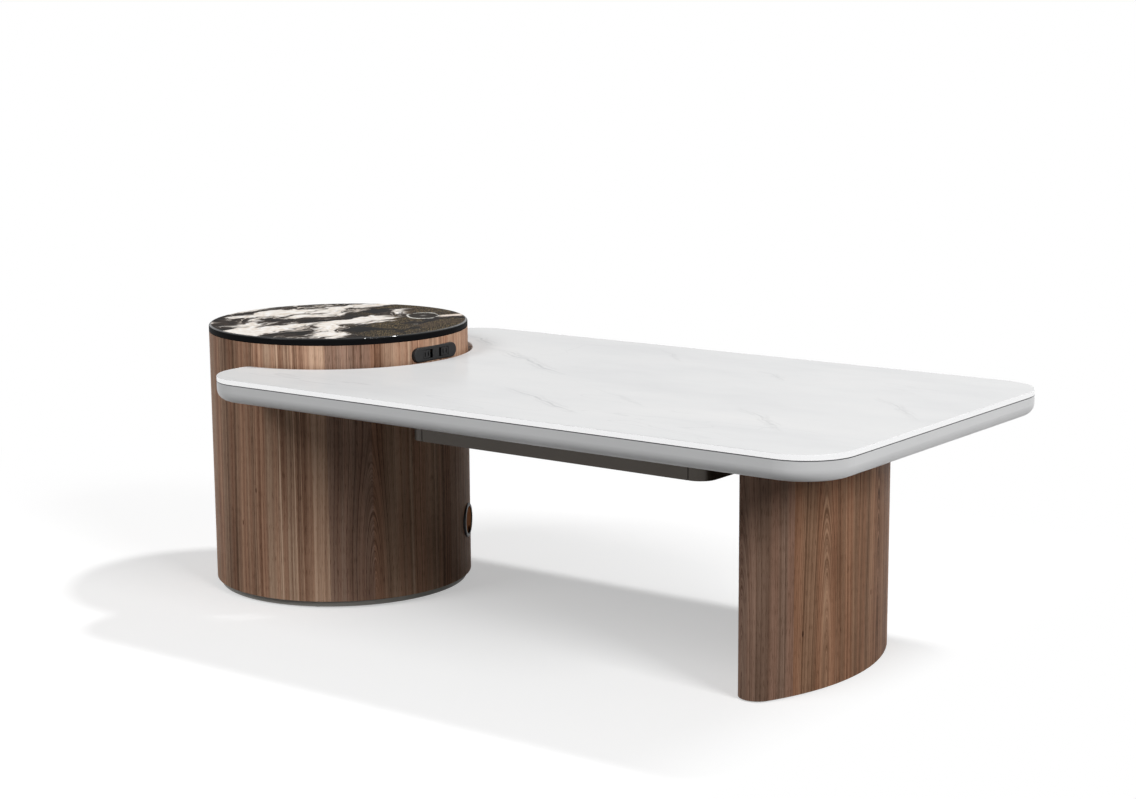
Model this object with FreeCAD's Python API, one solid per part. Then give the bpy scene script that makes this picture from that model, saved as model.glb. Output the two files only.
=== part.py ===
"""Tea table: a round cabinet with an induction hob, a long stone top and one lens-shaped leg.

Millimetres. X runs along the top, from the cabinet to the leg. Y runs across it, with the
drawer opening towards -Y. Z is up and the floor is Z = 0. The origin lies on the floor, under
the middle of the table.
"""

import FreeCAD, Part
import math
import os

# Overall sizes
overall_length = 1406.0
slab_top_height = 410.0
side_overhang = 125.0     # how far the top stands out past the cabinet on each side

# Clearances
seat_clearance = 0.3      # beside a piece that drops into its place
shank_clearance = 0.3     # round a screw or bolt
running_clearance = 0.05  # round a turning shaft
overrun = 2.0             # how far a cutting shape runs past what it cuts

# Cabinet
cabinet_radius = 225.0
wall_thickness = 18.0
disc_thickness = 12.0
disc_round = 4.0
disc_chamfer = 0.8
plinth_top_height = 12.5
plinth_inset = 8.0
plinth_width = 30.0
glide_thickness = 2.0
glide_radius = 9.0
floor_board_thickness = 15.0
cabinet_glide_count = 6

# Stone top
slab_thickness = 9.0
slab_chamfer = 0.8
corner_radius = 80.0
slab_left_offset = 8.0    # from the cabinet's axis to the left edge of the top
notch_gap = 8.0           # between the cabinet and the notch that goes round it
tip_radius = 12.0         # where the notch meets the left edge

# Lacquered base under the stone
base_height = 31.0
base_round = 18.0
base_chamfer = 0.8
deck_thickness = 9.0      # above the pocket
rim_width = 30.0
panel_ledge = 15.0
panel_thickness = 4.0
pocket_corner = 20.0
pocket_left_offset = 155.0
pocket_tip = 8.0

# Steel frame in the base
tube_width = 40.0
tube_wall = 1.5
rail_inset = 45.0         # from the case's front and back to the middle of a long rail
cross_tube_count = 4
frame_gap = 8.0           # from the ends of the tubes to the sides of the pocket
frame_notch_gap = 4.0     # from the first cross tube to the pocket's curved side
mount_plate_thickness = 5.0
mount_plate_length = 90.0

# Steel bracket between cabinet and top
bracket_thickness = 5.0
bracket_bolt_inset = 14.0 # from the near side of the first cross tube
bracket_edge = 10.0       # from the middle of a bolt to the end of the plate
bracket_width = 220.0
bracket_drop = 40.0
bracket_bolt_shares = (-0.35, -0.13, 0.13, 0.35)   # of the bracket's width
gusset_shares = (-0.23, 0.23)                      # of the bracket's width
backing_share = 0.84                               # of the bracket's width
backing_thickness = 3.0
wall_bolt_angles = (-20.0, -7.0, 7.0, 20.0)        # degrees

# Fasteners
bolt_radius = 4.0
bolt_head_radius = 6.5
bolt_head_height = 5.0
nut_radius = 7.5
nut_sides = 6
nut_thickness = 6.5
screw_radius = 2.0
screw_head_radius = 4.0
screw_head_height = 2.2
flat_head_radius = 3.2
bracket_bolt_length = 19.0
leg_bolt_length = 28.0
panel_screw_length = 16.0
case_screw_length = 15.0
front_screw_length = 24.0
runner_screw_length = 10.0
tray_screw_length = 9.0
panel_screw_pitch = 200.0

# Leg
leg_setback = 213.0       # from the top's far end to the leg's middle
leg_half_thickness = 68.0
leg_half_length = 195.0
leg_tip_radius = 28.0
leg_wall = 12.0
leg_block_thickness = 18.0
leg_plate_thickness = 5.0
leg_rib_thickness = 12.0
leg_rib_offset = 60.0
leg_bolt_offset_x = 22.0
leg_bolt_rail_gap = 30.0  # from the long rails to the leg's bolts
leg_glide_offset_x = 36.0
leg_glide_offset_y = 148.0

# Drawer case
case_bracket_gap = 2.0    # between the bracket's plate and the case
case_leg_gap = 18.0       # between the case and the leg
case_depth = 350.0
case_height = 60.0
case_corner = 28.0
case_side = 30.0
case_wall = 18.0
case_board = 8.0
case_screw_shares = (-0.4, 0.0, 0.4)               # of the case's width

# Drawer
front_gap = 1.5
front_top_gap = 3.0
finger_gap_width = 130.0
finger_gap_depth = 20.0
finger_cove_radius = 10.0
box_back_gap = 14.0       # behind the closed drawer
box_wall = 12.0
box_floor_gap = 4.0       # under the drawer's sides
box_head_room = 6.0       # above the drawer's sides
bottom_board = 5.0
bottom_lift = 4.0
groove_depth = 6.0
drawer_stay = 20.0        # how much of the open drawer stays in the case
front_screw_shares = (-0.38, -0.13, 0.13, 0.38)    # of the drawer's width

# Drawer runners
runner_gap = 10.0
runner_height = 27.0
runner_sheet = 1.2
runner_play = 0.3
runner_tip_gap = 1.5
runner_screw_shares = (-0.36, 0.0, 0.36)           # of the runner's length

# Hob
hob_board_thickness = 12.0
hob_centre_share = 0.3    # from the axis, away from the top, as a share of the board's radius
hob_gap_share = 0.12      # half of the gap between the two cooking places, of the same radius
tray_margin = 10.0        # between the tray's opening and the rim of the board
tray_flange = 7.0
tray_sheet = 1.2
tray_gap = 0.5
pad_gap = 6.0             # between the pads and the tray's wall
pad_thickness = 3.0
coil_thickness = 5.0
coil_inset = 2.0          # from the pad's edge to the coil
coil_bore_share = 0.31    # of the coil's radius
carrier_thickness = 4.0
carrier_rib_height = 5.0
carrier_rib_width = 3.0
carrier_rib_count = 8
post_radius = 3.5
post_inset = 8.0          # from the pad's edge to the middle of a post
post_angles = (90.0, 210.0, 330.0)                 # degrees
vent_width = 3.0
vent_share = 0.9          # of the pads' radius
vent_pitch = 9.0
vent_count = 5
cleat_height = 20.0
cleat_width = 40.0
cleat_depth = 16.0
cleat_angles = (60.0, 135.0, 225.0, 300.0)         # degrees

# Hob electronics
circuit_shares = (1.2, 1.05)                       # its length and width, of the pads' radius
circuit_thickness = 1.6
circuit_lift = 8.0
boss_radius = 3.0
boss_inset = 6.0
capacitor_radius = 6.0
capacitor_height = 20.0
capacitor_head_room = 8.0 # under the coil carriers
choke_radius = 9.0
choke_height = 12.0
sink_shares = (0.5, 0.36)                          # its length and width, of the board's length
sink_height = 18.0
sink_foot = 3.0
sink_fin = 1.5
sink_fin_count = 6

# Fan
fan_size = 60.0
fan_depth = 15.0
fan_corner = 4.0
fan_rim = 2.0             # the thinnest part of the fan's housing
fan_hub_radius = 12.0
fan_strut_width = 4.0
fan_strut_thickness = 2.0
fan_strut_count = 3
fan_shaft_radius = 1.5
fan_tip_gap = 1.5
fan_blade_count = 7
fan_blade_thickness = 1.2
fan_blade_chord = 12.0
fan_blade_pitch = 40.0    # degrees

# Socket on the cabinet wall
socket_angle = -1.2       # degrees
socket_length = 106.0
socket_height = 25.0
socket_lift = 0.5         # above the stone
socket_head_room = 12.5   # between the socket and the disc
socket_proud = 1.0        # where the wall bulges most
socket_bevel = 1.5
outlet_offset = 20.0
outlet_width = 24.0
outlet_height = 15.0
outlet_depth = 1.8
core_width = 17.0
core_height = 13.0
core_sink = 0.4
core_depth = 12.0
pin_slot_width = 2.2
pin_slot_height = 8.5
pin_slot_pitch = 8.0
socket_box_inset_y = 10.0 # from the ends of the surround to the box behind it
socket_box_inset_z = 2.25 # from its upper and lower edge
socket_box_depth = 33.0
socket_box_wall = 1.8
contact_thickness = 0.6
contact_height = 7.0
clip_width = 12.0
clip_thickness = 1.5

# Cable outlet in the cabinet wall
outlet_angle = 28.0       # degrees
outlet_height_z = 108.0
grommet_radius = 30.0
grommet_proud = 2.5
grommet_lip = 3.5
grommet_round = 1.5
grommet_wall = 2.0
cap_thickness = 3.0
cap_sink = 0.8
cable_slot_width = 16.0
cable_slot_height = 14.0

# Angles, in degrees
quarter_turn = 90.0
full_turn = 360.0

# Places worked out from the sizes above
cabinet_x = cabinet_radius - overall_length / 2
overall_height = slab_top_height + socket_lift + socket_height + socket_head_room + disc_thickness
slab_right = overall_length / 2
slab_left = cabinet_x + slab_left_offset
half_width = cabinet_radius + side_overhang
slab_bottom = slab_top_height - slab_thickness
base_bottom = slab_bottom - base_height
panel_top = base_bottom + panel_thickness
deck_bottom = slab_bottom - deck_thickness
notch_radius = cabinet_radius + notch_gap
wall_top = overall_height - disc_thickness
inner_radius = cabinet_radius - wall_thickness
floor_top = plinth_top_height + floor_board_thickness
pocket_left = cabinet_x + pocket_left_offset
pocket_right = slab_right - rim_width - panel_ledge
pocket_half_width = half_width - rim_width - panel_ledge
frame_left = cabinet_x + notch_radius + rim_width + panel_ledge + frame_notch_gap
frame_right = pocket_right - frame_gap
rail_offset = case_depth / 2 - rail_inset
leg_x = slab_right - leg_setback
leg_top = base_bottom
leg_bolt_offset_y = rail_offset - tube_width / 2 - leg_bolt_rail_gap
bracket_bolt_x = frame_left + bracket_bolt_inset
bracket_end = bracket_bolt_x + bracket_edge
case_left = bracket_end + case_bracket_gap
case_width = leg_x - leg_half_thickness - case_leg_gap - case_left
case_x = case_left + case_width / 2
case_bottom = base_bottom - case_height
front_y = -case_depth / 2
box_front = front_y + case_wall
inner_half_width = case_width / 2 - case_side
box_half_width = inner_half_width - runner_gap
box_depth = case_depth - 2 * case_wall - box_back_gap
runner_length = box_depth
drawer_travel = box_depth - drawer_stay
box_bottom = case_bottom + case_board + box_floor_gap
box_top = base_bottom - case_board - box_head_room
runner_z = (box_bottom + box_top) / 2
socket_z = slab_top_height + socket_lift + socket_height / 2
socket_front = cabinet_radius + socket_proud
socket_box_half_width = socket_length / 2 - socket_box_inset_y
socket_box_half_height = socket_height / 2 - socket_box_inset_z
grommet_body_radius = grommet_radius - grommet_lip
hob_centre_offset = inner_radius * hob_centre_share
hob_half_gap = inner_radius * hob_gap_share
tray_reach = inner_radius - tray_margin - tray_flange - tray_gap
tray_spread = tray_reach ** 2 - hob_centre_offset ** 2 - hob_half_gap ** 2
tray_radius = tray_spread / (2 * (tray_reach + hob_half_gap))
hob_half_pitch = tray_radius + hob_half_gap
pad_radius = tray_radius - tray_sheet - pad_gap
coil_radius = pad_radius - coil_inset
post_offset = pad_radius - post_inset
circuit_length = pad_radius * circuit_shares[0]
circuit_width = pad_radius * circuit_shares[1]
sink_length = circuit_length * sink_shares[0]
sink_width = circuit_length * sink_shares[1]
coil_bottom = wall_top - pad_thickness - coil_thickness
circuit_top = coil_bottom - carrier_thickness - carrier_rib_height - capacitor_head_room - capacitor_height
circuit_bottom = circuit_top - circuit_thickness
tray_floor = circuit_bottom - circuit_lift
tray_bottom = tray_floor - tray_sheet
fan_bore_radius = fan_size / 2 - fan_rim


def vector(x, y, z=0.0):
    """A point or a direction."""
    return FreeCAD.Vector(x, y, z)


def line(start, end):
    """A straight edge between two plan points."""
    return Part.LineSegment(vector(*start), vector(*end)).toShape()


def arc(start, middle, end):
    """A round edge through three plan points."""
    return Part.Arc(vector(*start), vector(*middle), vector(*end)).toShape()


def prism(edges, low, high):
    """The solid over a closed outline, from the height low to high."""
    solid = Part.Face(Part.Wire(edges)).extrude(vector(0, 0, high - low))
    solid.translate(vector(0, 0, low))
    return solid


def block(low, high):
    """A box between its lowest and its highest corner."""
    size = [high[axis] - low[axis] for axis in range(len(low))]
    return Part.makeBox(size[0], size[1], size[2], vector(*low))


def rod(radius, x, y, low, high):
    """An upright cylinder."""
    return Part.makeCylinder(radius, high - low, vector(x, y, low))


def tube(outer, inner, low, high):
    """An upright ring about the cabinet's own axis."""
    return rod(outer, 0, 0, low, high).cut(rod(inner, 0, 0, low - overrun, high + overrun))


def polar(radius, degrees):
    """A plan point at a distance and an angle."""
    return (radius * math.cos(math.radians(degrees)), radius * math.sin(math.radians(degrees)))


def turned(shape, degrees):
    """A copy turned about the cabinet's axis."""
    copy = shape.copy()
    copy.rotate(vector(0, 0), vector(0, 0, 1), degrees)
    return copy


def moved(shape, x=0.0, y=0.0, z=0.0):
    """A shifted copy."""
    copy = shape.copy()
    copy.translate(vector(x, y, z))
    return copy


def at_cabinet(shape):
    """A shape drawn about the cabinet's own axis, put where the cabinet stands."""
    return moved(shape, cabinet_x)


def laid_along_x(shape):
    """An upright shape tipped so that its top points to +X."""
    copy = shape.copy()
    copy.rotate(vector(0, 0), vector(0, 1), quarter_turn)
    return copy


def laid_along_y(shape):
    """An upright shape tipped so that its top points to +Y."""
    copy = shape.copy()
    copy.rotate(vector(0, 0), vector(1, 0), -quarter_turn)
    return copy


def upside_down(shape):
    """An upright shape turned over."""
    copy = shape.copy()
    copy.rotate(vector(0, 0), vector(1, 0), 2 * quarter_turn)
    return copy


def mirrored_x(shape, middle):
    """The mirror image across the plane X = middle."""
    return shape.mirror(vector(middle, 0), vector(1, 0))


def cut_all(shape, tools):
    """A shape with every tool cut from it."""
    return shape.cut(Part.makeCompound(tools))


def edges_at(shape, height):
    """The edges that lie flat at one height."""
    found = []
    for edge in shape.Edges:
        bounds = edge.BoundBox
        if abs(bounds.ZMin - height) < seat_clearance / 10 and bounds.ZLength < seat_clearance / 10:
            found.append(edge)
    return found


def rounded_outline(left, right, front, back, radius):
    """The outline of a rectangle with round corners."""
    corners = ((right - radius, back - radius), (left + radius, back - radius),
               (left + radius, front + radius), (right - radius, front + radius))
    arcs = []
    for index, (x, y) in enumerate(corners):
        points = []
        for turns in (0, 0.5, 1):
            dx, dy = polar(radius, quarter_turn * (index + turns))
            points.append((x + dx, y + dy))
        arcs.append(points)
    edges = []
    for index, points in enumerate(arcs):
        edges.append(line(arcs[index - 1][2], points[0]))
        edges.append(arc(*points))
    return edges


def stadium_outline(half_pitch, radius):
    """The outline of a slot with round ends, along Y, about the origin."""
    return [line((radius, -half_pitch), (radius, half_pitch)),
            arc((radius, half_pitch), (0, half_pitch + radius), (-radius, half_pitch)),
            line((-radius, half_pitch), (-radius, -half_pitch)),
            arc((-radius, -half_pitch), (0, -half_pitch - radius), (radius, -half_pitch))]


def top_outline(left, right, half, corner, notch, tip):
    """The outline of the top: a round-cornered rectangle with a notch that goes round the cabinet.

    Each end of the notch meets the left edge in a small round tip.
    """
    tip_x = left + tip
    reach = notch + tip
    tip_y = math.sqrt(reach ** 2 - (tip_x - cabinet_x) ** 2)
    touch = (cabinet_x + (tip_x - cabinet_x) * notch / reach, tip_y * notch / reach)
    towards = (cabinet_x - tip_x - reach, -tip_y)
    length = math.hypot(*towards)
    crown = (tip_x + tip * towards[0] / length, tip_y + tip * towards[1] / length)
    diagonal = corner * math.sqrt(0.5)
    upper = [arc(touch, crown, (left, tip_y)),
             line((left, tip_y), (left, half - corner)),
             arc((left, half - corner),
                 (left + corner - diagonal, half - corner + diagonal), (left + corner, half)),
             line((left + corner, half), (right - corner, half)),
             arc((right - corner, half),
                 (right - corner + diagonal, half - corner + diagonal), (right, half - corner))]
    lower = [edge.mirror(vector(0, 0), vector(0, 1)) for edge in reversed(upper)]
    end = line((right, half - corner), (right, corner - half))
    inlet = arc((touch[0], -touch[1]), (cabinet_x + notch, 0), touch)
    return upper + [end] + lower + [inlet]


def lens_outline(inset):
    """The leg's outline, drawn in by an inset: two flat arcs that meet in round tips."""
    thickness = leg_half_thickness - inset
    length = leg_half_length - inset
    tip = leg_tip_radius - inset
    tip_y = length - tip
    face = (thickness ** 2 + tip_y ** 2 - tip ** 2) / (2 * (thickness - tip))
    share = tip / (face - tip)
    touch_x = share * (face - thickness)
    touch_y = tip_y + share * tip_y
    return [arc((touch_x, -touch_y), (thickness, 0), (touch_x, touch_y)),
            arc((touch_x, touch_y), (0, length), (-touch_x, touch_y)),
            arc((-touch_x, touch_y), (-thickness, 0), (-touch_x, -touch_y)),
            arc((-touch_x, -touch_y), (0, -length), (touch_x, -touch_y))]


def bolt(length):
    """A bolt that points up: its head hangs under Z = 0, its shank stands on it."""
    head = rod(bolt_head_radius, 0, 0, -bolt_head_height, 0)
    return head.fuse(rod(bolt_radius, 0, 0, 0, length))


def screw(length):
    """A round-headed screw that points up, with its head under Z = 0."""
    head = rod(screw_head_radius, 0, 0, -screw_head_height, 0)
    return head.fuse(rod(screw_radius, 0, 0, 0, length))


def flat_screw(length, sheet, gap=0.0):
    """A countersunk screw that points down, flush with Z = 0 in a sheet of this thickness."""
    head = Part.makeCone(screw_radius + gap, flat_head_radius + gap, sheet, vector(0, 0, -sheet))
    return head.fuse(rod(screw_radius + gap, 0, 0, -length, -sheet))


# Stone top and its base

def stone_top():
    """The polished slab, with a fine chamfer all round above and below."""
    outline = top_outline(slab_left, slab_right, half_width, corner_radius, notch_radius, tip_radius)
    slab = prism(outline, slab_bottom, slab_top_height)
    edges = edges_at(slab, slab_bottom) + edges_at(slab, slab_top_height)
    return slab.makeChamfer(slab_chamfer, edges)


def pocket_cutter(inset, low, high):
    """The hollow under the base, drawn in from the slab's edge by an inset."""
    extra = inset - rim_width - panel_ledge
    outline = top_outline(pocket_left + extra, slab_right - inset, half_width - inset,
                          pocket_corner - extra, notch_radius + inset, pocket_tip)
    return prism(outline, low, high)


def panel_screw_places():
    """Where the closing panel is screwed to the base: along both sides and across the far end."""
    line_y = pocket_half_width + panel_ledge / 2
    line_x = pocket_right + panel_ledge / 2
    first = pocket_left + pocket_corner
    last = pocket_right - pocket_corner
    count = max(2, round((last - first) / panel_screw_pitch) + 1)
    places = []
    for index in range(count):
        x = first + (last - first) * index / (count - 1)
        places += [(x, line_y), (x, -line_y)]
    for side in (-1, 1):
        places.append((line_x, side * pocket_half_width / 2))
    return places


def bracket_bolt_places():
    """Where the bracket is bolted to the first cross tube."""
    return [(bracket_bolt_x, share * bracket_width) for share in bracket_bolt_shares]


def leg_bolt_places():
    """Where the leg is bolted to its mounting plate."""
    return [(leg_x + x * leg_bolt_offset_x, y * leg_bolt_offset_y) for x in (-1, 1) for y in (-1, 1)]


def case_screw_places():
    """Where the drawer case hangs from the long rails."""
    places = []
    for share in case_screw_shares:
        for side in (-1, 1):
            places.append((case_x + share * case_width, side * rail_offset))
    return places


def top_base():
    """The lacquered base: round below, with a pocket for the frame and a ledge for the panel."""
    rectangle = rounded_outline(slab_left, slab_right, -half_width, half_width, corner_radius)
    body = prism(rectangle, base_bottom, slab_bottom)
    body = body.makeFillet(base_round, edges_at(body, base_bottom))
    outline = top_outline(slab_left, slab_right, half_width, corner_radius, notch_radius, tip_radius)
    body = body.common(prism(outline, base_bottom, slab_bottom))
    body = body.makeChamfer(base_chamfer, edges_at(body, slab_bottom))
    pocket = pocket_cutter(rim_width + panel_ledge, base_bottom - overrun, deck_bottom)
    ledge = pocket_cutter(rim_width, base_bottom - overrun, panel_top)
    tools = [pocket, ledge]
    hole = screw_radius + shank_clearance
    for x, y in panel_screw_places():
        tools.append(rod(hole, x, y, base_bottom, base_bottom + panel_screw_length + shank_clearance))
    return cut_all(body, tools)


def cross_tube_places():
    """The middle of each cross tube, evenly along the frame."""
    first = frame_left + tube_width / 2
    last = frame_right - tube_width / 2
    step = (last - first) / (cross_tube_count - 1)
    return [first + step * index for index in range(cross_tube_count)]


def top_frame():
    """The welded frame: two long rails, cross tubes and the plate that the leg is bolted to."""
    half_tube = tube_width / 2
    reach = pocket_half_width - frame_gap
    spans = []
    for side in (-1, 1):
        y = side * rail_offset
        spans.append(((frame_left, y - half_tube), (frame_right, y + half_tube), (overrun, -tube_wall)))
    for x in cross_tube_places():
        spans.append(((x - half_tube, -reach), (x + half_tube, reach), (-tube_wall, overrun)))
    solids = []
    hollows = []
    for low, high, (grow_x, grow_y) in spans:
        solids.append(block((low[0], low[1], panel_top), (high[0], high[1], deck_bottom)))
        hollows.append(block((low[0] - grow_x, low[1] - grow_y, panel_top + tube_wall),
                             (high[0] + grow_x, high[1] + grow_y, deck_bottom - tube_wall)))
    rail_face = rail_offset - half_tube
    solids.append(block((leg_x - mount_plate_length / 2, -rail_face, panel_top),
                        (leg_x + mount_plate_length / 2, rail_face, panel_top + mount_plate_thickness)))
    frame = solids[0].multiFuse(solids[1:]).removeSplitter()
    for x, y in bracket_bolt_places() + leg_bolt_places():
        hollows.append(rod(bolt_radius + shank_clearance, x, y, panel_top - overrun,
                           panel_top + mount_plate_thickness + overrun))
    for x, y in case_screw_places():
        hollows.append(rod(screw_radius + shank_clearance, x, y, panel_top - overrun,
                           panel_top + tube_wall + overrun))
    return cut_all(frame, hollows)


def under_panel():
    """The thin panel that closes the pocket, let into the ledge."""
    panel = pocket_cutter(rim_width + seat_clearance, base_bottom, panel_top)
    tools = []
    for x, y in bracket_bolt_places() + leg_bolt_places():
        tools.append(rod(bolt_radius + shank_clearance, x, y, base_bottom - overrun, panel_top + overrun))
    for x, y in case_screw_places() + panel_screw_places():
        tools.append(rod(screw_radius + shank_clearance, x, y, base_bottom - overrun, panel_top + overrun))
    return cut_all(panel, tools)


def panel_screws():
    """The screws round the closing panel."""
    one = screw(panel_screw_length)
    return Part.makeCompound([moved(one, x, y, base_bottom) for x, y in panel_screw_places()])


# Bracket between cabinet and top

def cabinet_bracket():
    """A curved flange against the wall, a plate under the top and gussets between them."""
    half = bracket_width / 2
    reach = bracket_end - cabinet_x
    low = base_bottom - bracket_drop
    plate = block((0, -half, base_bottom - bracket_thickness), (reach, half, base_bottom))
    strip = block((0, -half, low), (reach, half, base_bottom))
    flange = tube(cabinet_radius + bracket_thickness, cabinet_radius, low, base_bottom).common(strip)
    parts = [plate, flange]
    for share in gusset_shares:
        y = share * bracket_width
        corner = vector(0, y - bracket_thickness / 2)
        points = [(0, low), (cabinet_radius + bracket_thickness, low),
                  (reach, base_bottom - bracket_thickness), (0, base_bottom - bracket_thickness)]
        wire = [line(points[index - 1], points[index]) for index in range(len(points))]
        gusset = Part.Face(Part.Wire(wire)).extrude(vector(0, 0, bracket_thickness))
        gusset.rotate(vector(0, 0), vector(1, 0), quarter_turn)
        gusset.translate(corner + vector(0, bracket_thickness))
        parts.append(gusset)
    bracket = parts[0].multiFuse(parts[1:])
    tools = [rod(cabinet_radius, 0, 0, low - overrun, base_bottom + overrun)]
    for x, y in bracket_bolt_places():
        tools.append(rod(bolt_radius + shank_clearance, x - cabinet_x, y,
                         base_bottom - bracket_thickness - overrun, base_bottom + overrun))
    tools += wall_bolt_holes(cabinet_radius - overrun, cabinet_radius + bracket_thickness + overrun)
    return at_cabinet(cut_all(bracket, tools))


def wall_bolt_height():
    """The row of wall bolts runs along the middle of the flange."""
    return base_bottom - (bracket_drop + bracket_thickness) / 2


def wall_bolt_holes(inner, outer):
    """The radial holes for the wall bolts, about the cabinet's own axis."""
    hole = laid_along_x(rod(bolt_radius + shank_clearance, 0, 0, inner, outer))
    return [turned(moved(hole, 0, 0, wall_bolt_height()), angle) for angle in wall_bolt_angles]


def bracket_backing():
    """The curved plate that spreads the bolts' pull inside the cabinet wall."""
    low = base_bottom - bracket_drop
    high = base_bottom - bracket_thickness
    half = bracket_width * backing_share / 2
    ring = tube(inner_radius, inner_radius - backing_thickness, low, high)
    plate = ring.common(block((0, -half, low), (inner_radius, half, high)))
    holes = wall_bolt_holes(inner_radius - backing_thickness - overrun, inner_radius + overrun)
    return at_cabinet(cut_all(plate, holes))


def nut_face_radius():
    """How far from the cabinet's axis a nut's flat face sits on the curved backing plate."""
    return math.sqrt((inner_radius - backing_thickness) ** 2 - nut_radius ** 2)


def wall_bolts():
    """The bolts from the flange through the wall, pointing at the cabinet's axis."""
    outer = cabinet_radius + bracket_thickness
    length = outer - nut_face_radius() + nut_thickness + bolt_radius / 2
    one = moved(laid_along_x(upside_down(bolt(length))), outer, 0, wall_bolt_height())
    return at_cabinet(Part.makeCompound([turned(one, angle) for angle in wall_bolt_angles]))


def hexagon(radius):
    """The outline of a nut with this corner radius."""
    corners = [polar(radius, full_turn * index / nut_sides) for index in range(nut_sides)]
    return [line(corners[index - 1], corners[index]) for index in range(nut_sides)]


def wall_nuts():
    """The nuts inside the cabinet."""
    nut = prism(hexagon(nut_radius), 0, nut_thickness)
    nut = nut.cut(rod(bolt_radius + running_clearance, 0, 0, -overrun, nut_thickness + overrun))
    one = moved(laid_along_x(nut), nut_face_radius() - nut_thickness, 0, wall_bolt_height())
    return at_cabinet(Part.makeCompound([turned(one, angle) for angle in wall_bolt_angles]))


def bracket_bolts():
    """The bolts from the bracket's plate up into the first cross tube."""
    one = bolt(bracket_bolt_length)
    seat = base_bottom - bracket_thickness
    return Part.makeCompound([moved(one, x, y, seat) for x, y in bracket_bolt_places()])


# Leg

def leg_piece(inset, low, high):
    """A lens-shaped slice of the leg between two heights."""
    return moved(prism(lens_outline(inset), low, high), leg_x)


def leg_shell():
    """The veneered shell of the leg, open above and below."""
    shell = leg_piece(0, glide_thickness, leg_top)
    return shell.cut(leg_piece(leg_wall, glide_thickness - overrun, leg_top + overrun))


def leg_bolt_holes(low, high):
    """Clearance holes for the leg's bolts."""
    radius = bolt_radius + shank_clearance
    return [rod(radius, x, y, low, high) for x, y in leg_bolt_places()]


def leg_top_plate():
    """The steel plate let into the top of the leg."""
    low = leg_top - leg_plate_thickness
    plate = leg_piece(leg_wall + seat_clearance, low, leg_top)
    return cut_all(plate, leg_bolt_holes(low - overrun, leg_top + overrun))


def leg_top_block():
    """The block under the steel plate, which takes the bolts."""
    high = leg_top - leg_plate_thickness
    low = high - leg_block_thickness
    body = leg_piece(leg_wall + seat_clearance, low, high)
    return cut_all(body, leg_bolt_holes(low - overrun, high + overrun))


def leg_bottom_block():
    """The block that closes the foot of the leg."""
    low = glide_thickness
    return leg_piece(leg_wall + seat_clearance, low, low + leg_block_thickness)


def leg_ribs():
    """Two upright ribs that keep the thin shell from buckling."""
    low = glide_thickness + leg_block_thickness
    high = leg_top - leg_plate_thickness - leg_block_thickness
    core = leg_piece(leg_wall + seat_clearance, low, high)
    ribs = []
    for side in (-1, 1):
        y = side * leg_rib_offset
        strip = block((leg_x - leg_half_thickness, y - leg_rib_thickness / 2, low),
                      (leg_x + leg_half_thickness, y + leg_rib_thickness / 2, high))
        ribs.append(core.common(strip))
    return Part.makeCompound(ribs)


def leg_bolts():
    """The bolts from the mounting plate down into the leg."""
    one = upside_down(bolt(leg_bolt_length))
    seat = panel_top + mount_plate_thickness
    return Part.makeCompound([moved(one, x, y, seat) for x, y in leg_bolt_places()])


def leg_glides():
    """The pads that the leg stands on."""
    pads = []
    for x, y in ((leg_glide_offset_x, 0), (-leg_glide_offset_x, 0),
                 (0, leg_glide_offset_y), (0, -leg_glide_offset_y)):
        pads.append(rod(glide_radius, leg_x + x, y, 0, glide_thickness))
    return Part.makeCompound(pads)


# Drawer case

def case_body():
    """The whole outline of the drawer case as one solid, with its round corners."""
    outline = rounded_outline(case_left, case_left + case_width, front_y, -front_y, case_corner)
    return prism(outline, case_bottom, base_bottom)


def case_sides():
    """The two sides; their round corners show beside the drawer front."""
    body = case_body()
    sides = []
    for side in (-1, 1):
        near = case_x + side * inner_half_width
        far = case_x + side * (case_width / 2 + overrun)
        strip = block((min(near, far), front_y, case_bottom), (max(near, far), -front_y, base_bottom))
        hole = laid_along_x(rod(screw_radius + shank_clearance, 0, 0, -runner_screw_length, 0))
        holes = [moved(hole, near + max(0, side) * runner_screw_length, y, runner_z)
                 for y in runner_screw_places()]
        sides.append(cut_all(body.common(strip), holes))
    return Part.makeCompound(sides)


def case_back():
    """The back, between the sides."""
    return block((case_x - inner_half_width, -front_y - case_wall, case_bottom),
                 (case_x + inner_half_width, -front_y, base_bottom))


def case_top():
    """The thin top board, screwed up to the rails."""
    low = base_bottom - case_board
    board = block((case_x - inner_half_width, box_front + seat_clearance, low),
                  (case_x + inner_half_width, -box_front, base_bottom))
    holes = [rod(screw_radius + shank_clearance, x, y, low - overrun, base_bottom + overrun)
             for x, y in case_screw_places()]
    return cut_all(board, holes)


def case_floor():
    """The thin bottom board, cut back in the middle for the fingers that pull the drawer."""
    high = case_bottom + case_board
    board = block((case_x - inner_half_width, box_front + seat_clearance, case_bottom),
                  (case_x + inner_half_width, -box_front, high))
    cut = rounded_outline(case_x - finger_gap_width / 2, case_x + finger_gap_width / 2,
                          box_front - finger_gap_depth, box_front + finger_gap_depth,
                          finger_gap_depth / 2)
    return board.cut(prism(cut, case_bottom - overrun, high + overrun))


def case_screws():
    """The screws that hang the case from the frame."""
    one = screw(case_screw_length)
    seat = base_bottom - case_board
    return Part.makeCompound([moved(one, x, y, seat) for x, y in case_screw_places()])


# Drawer

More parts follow.
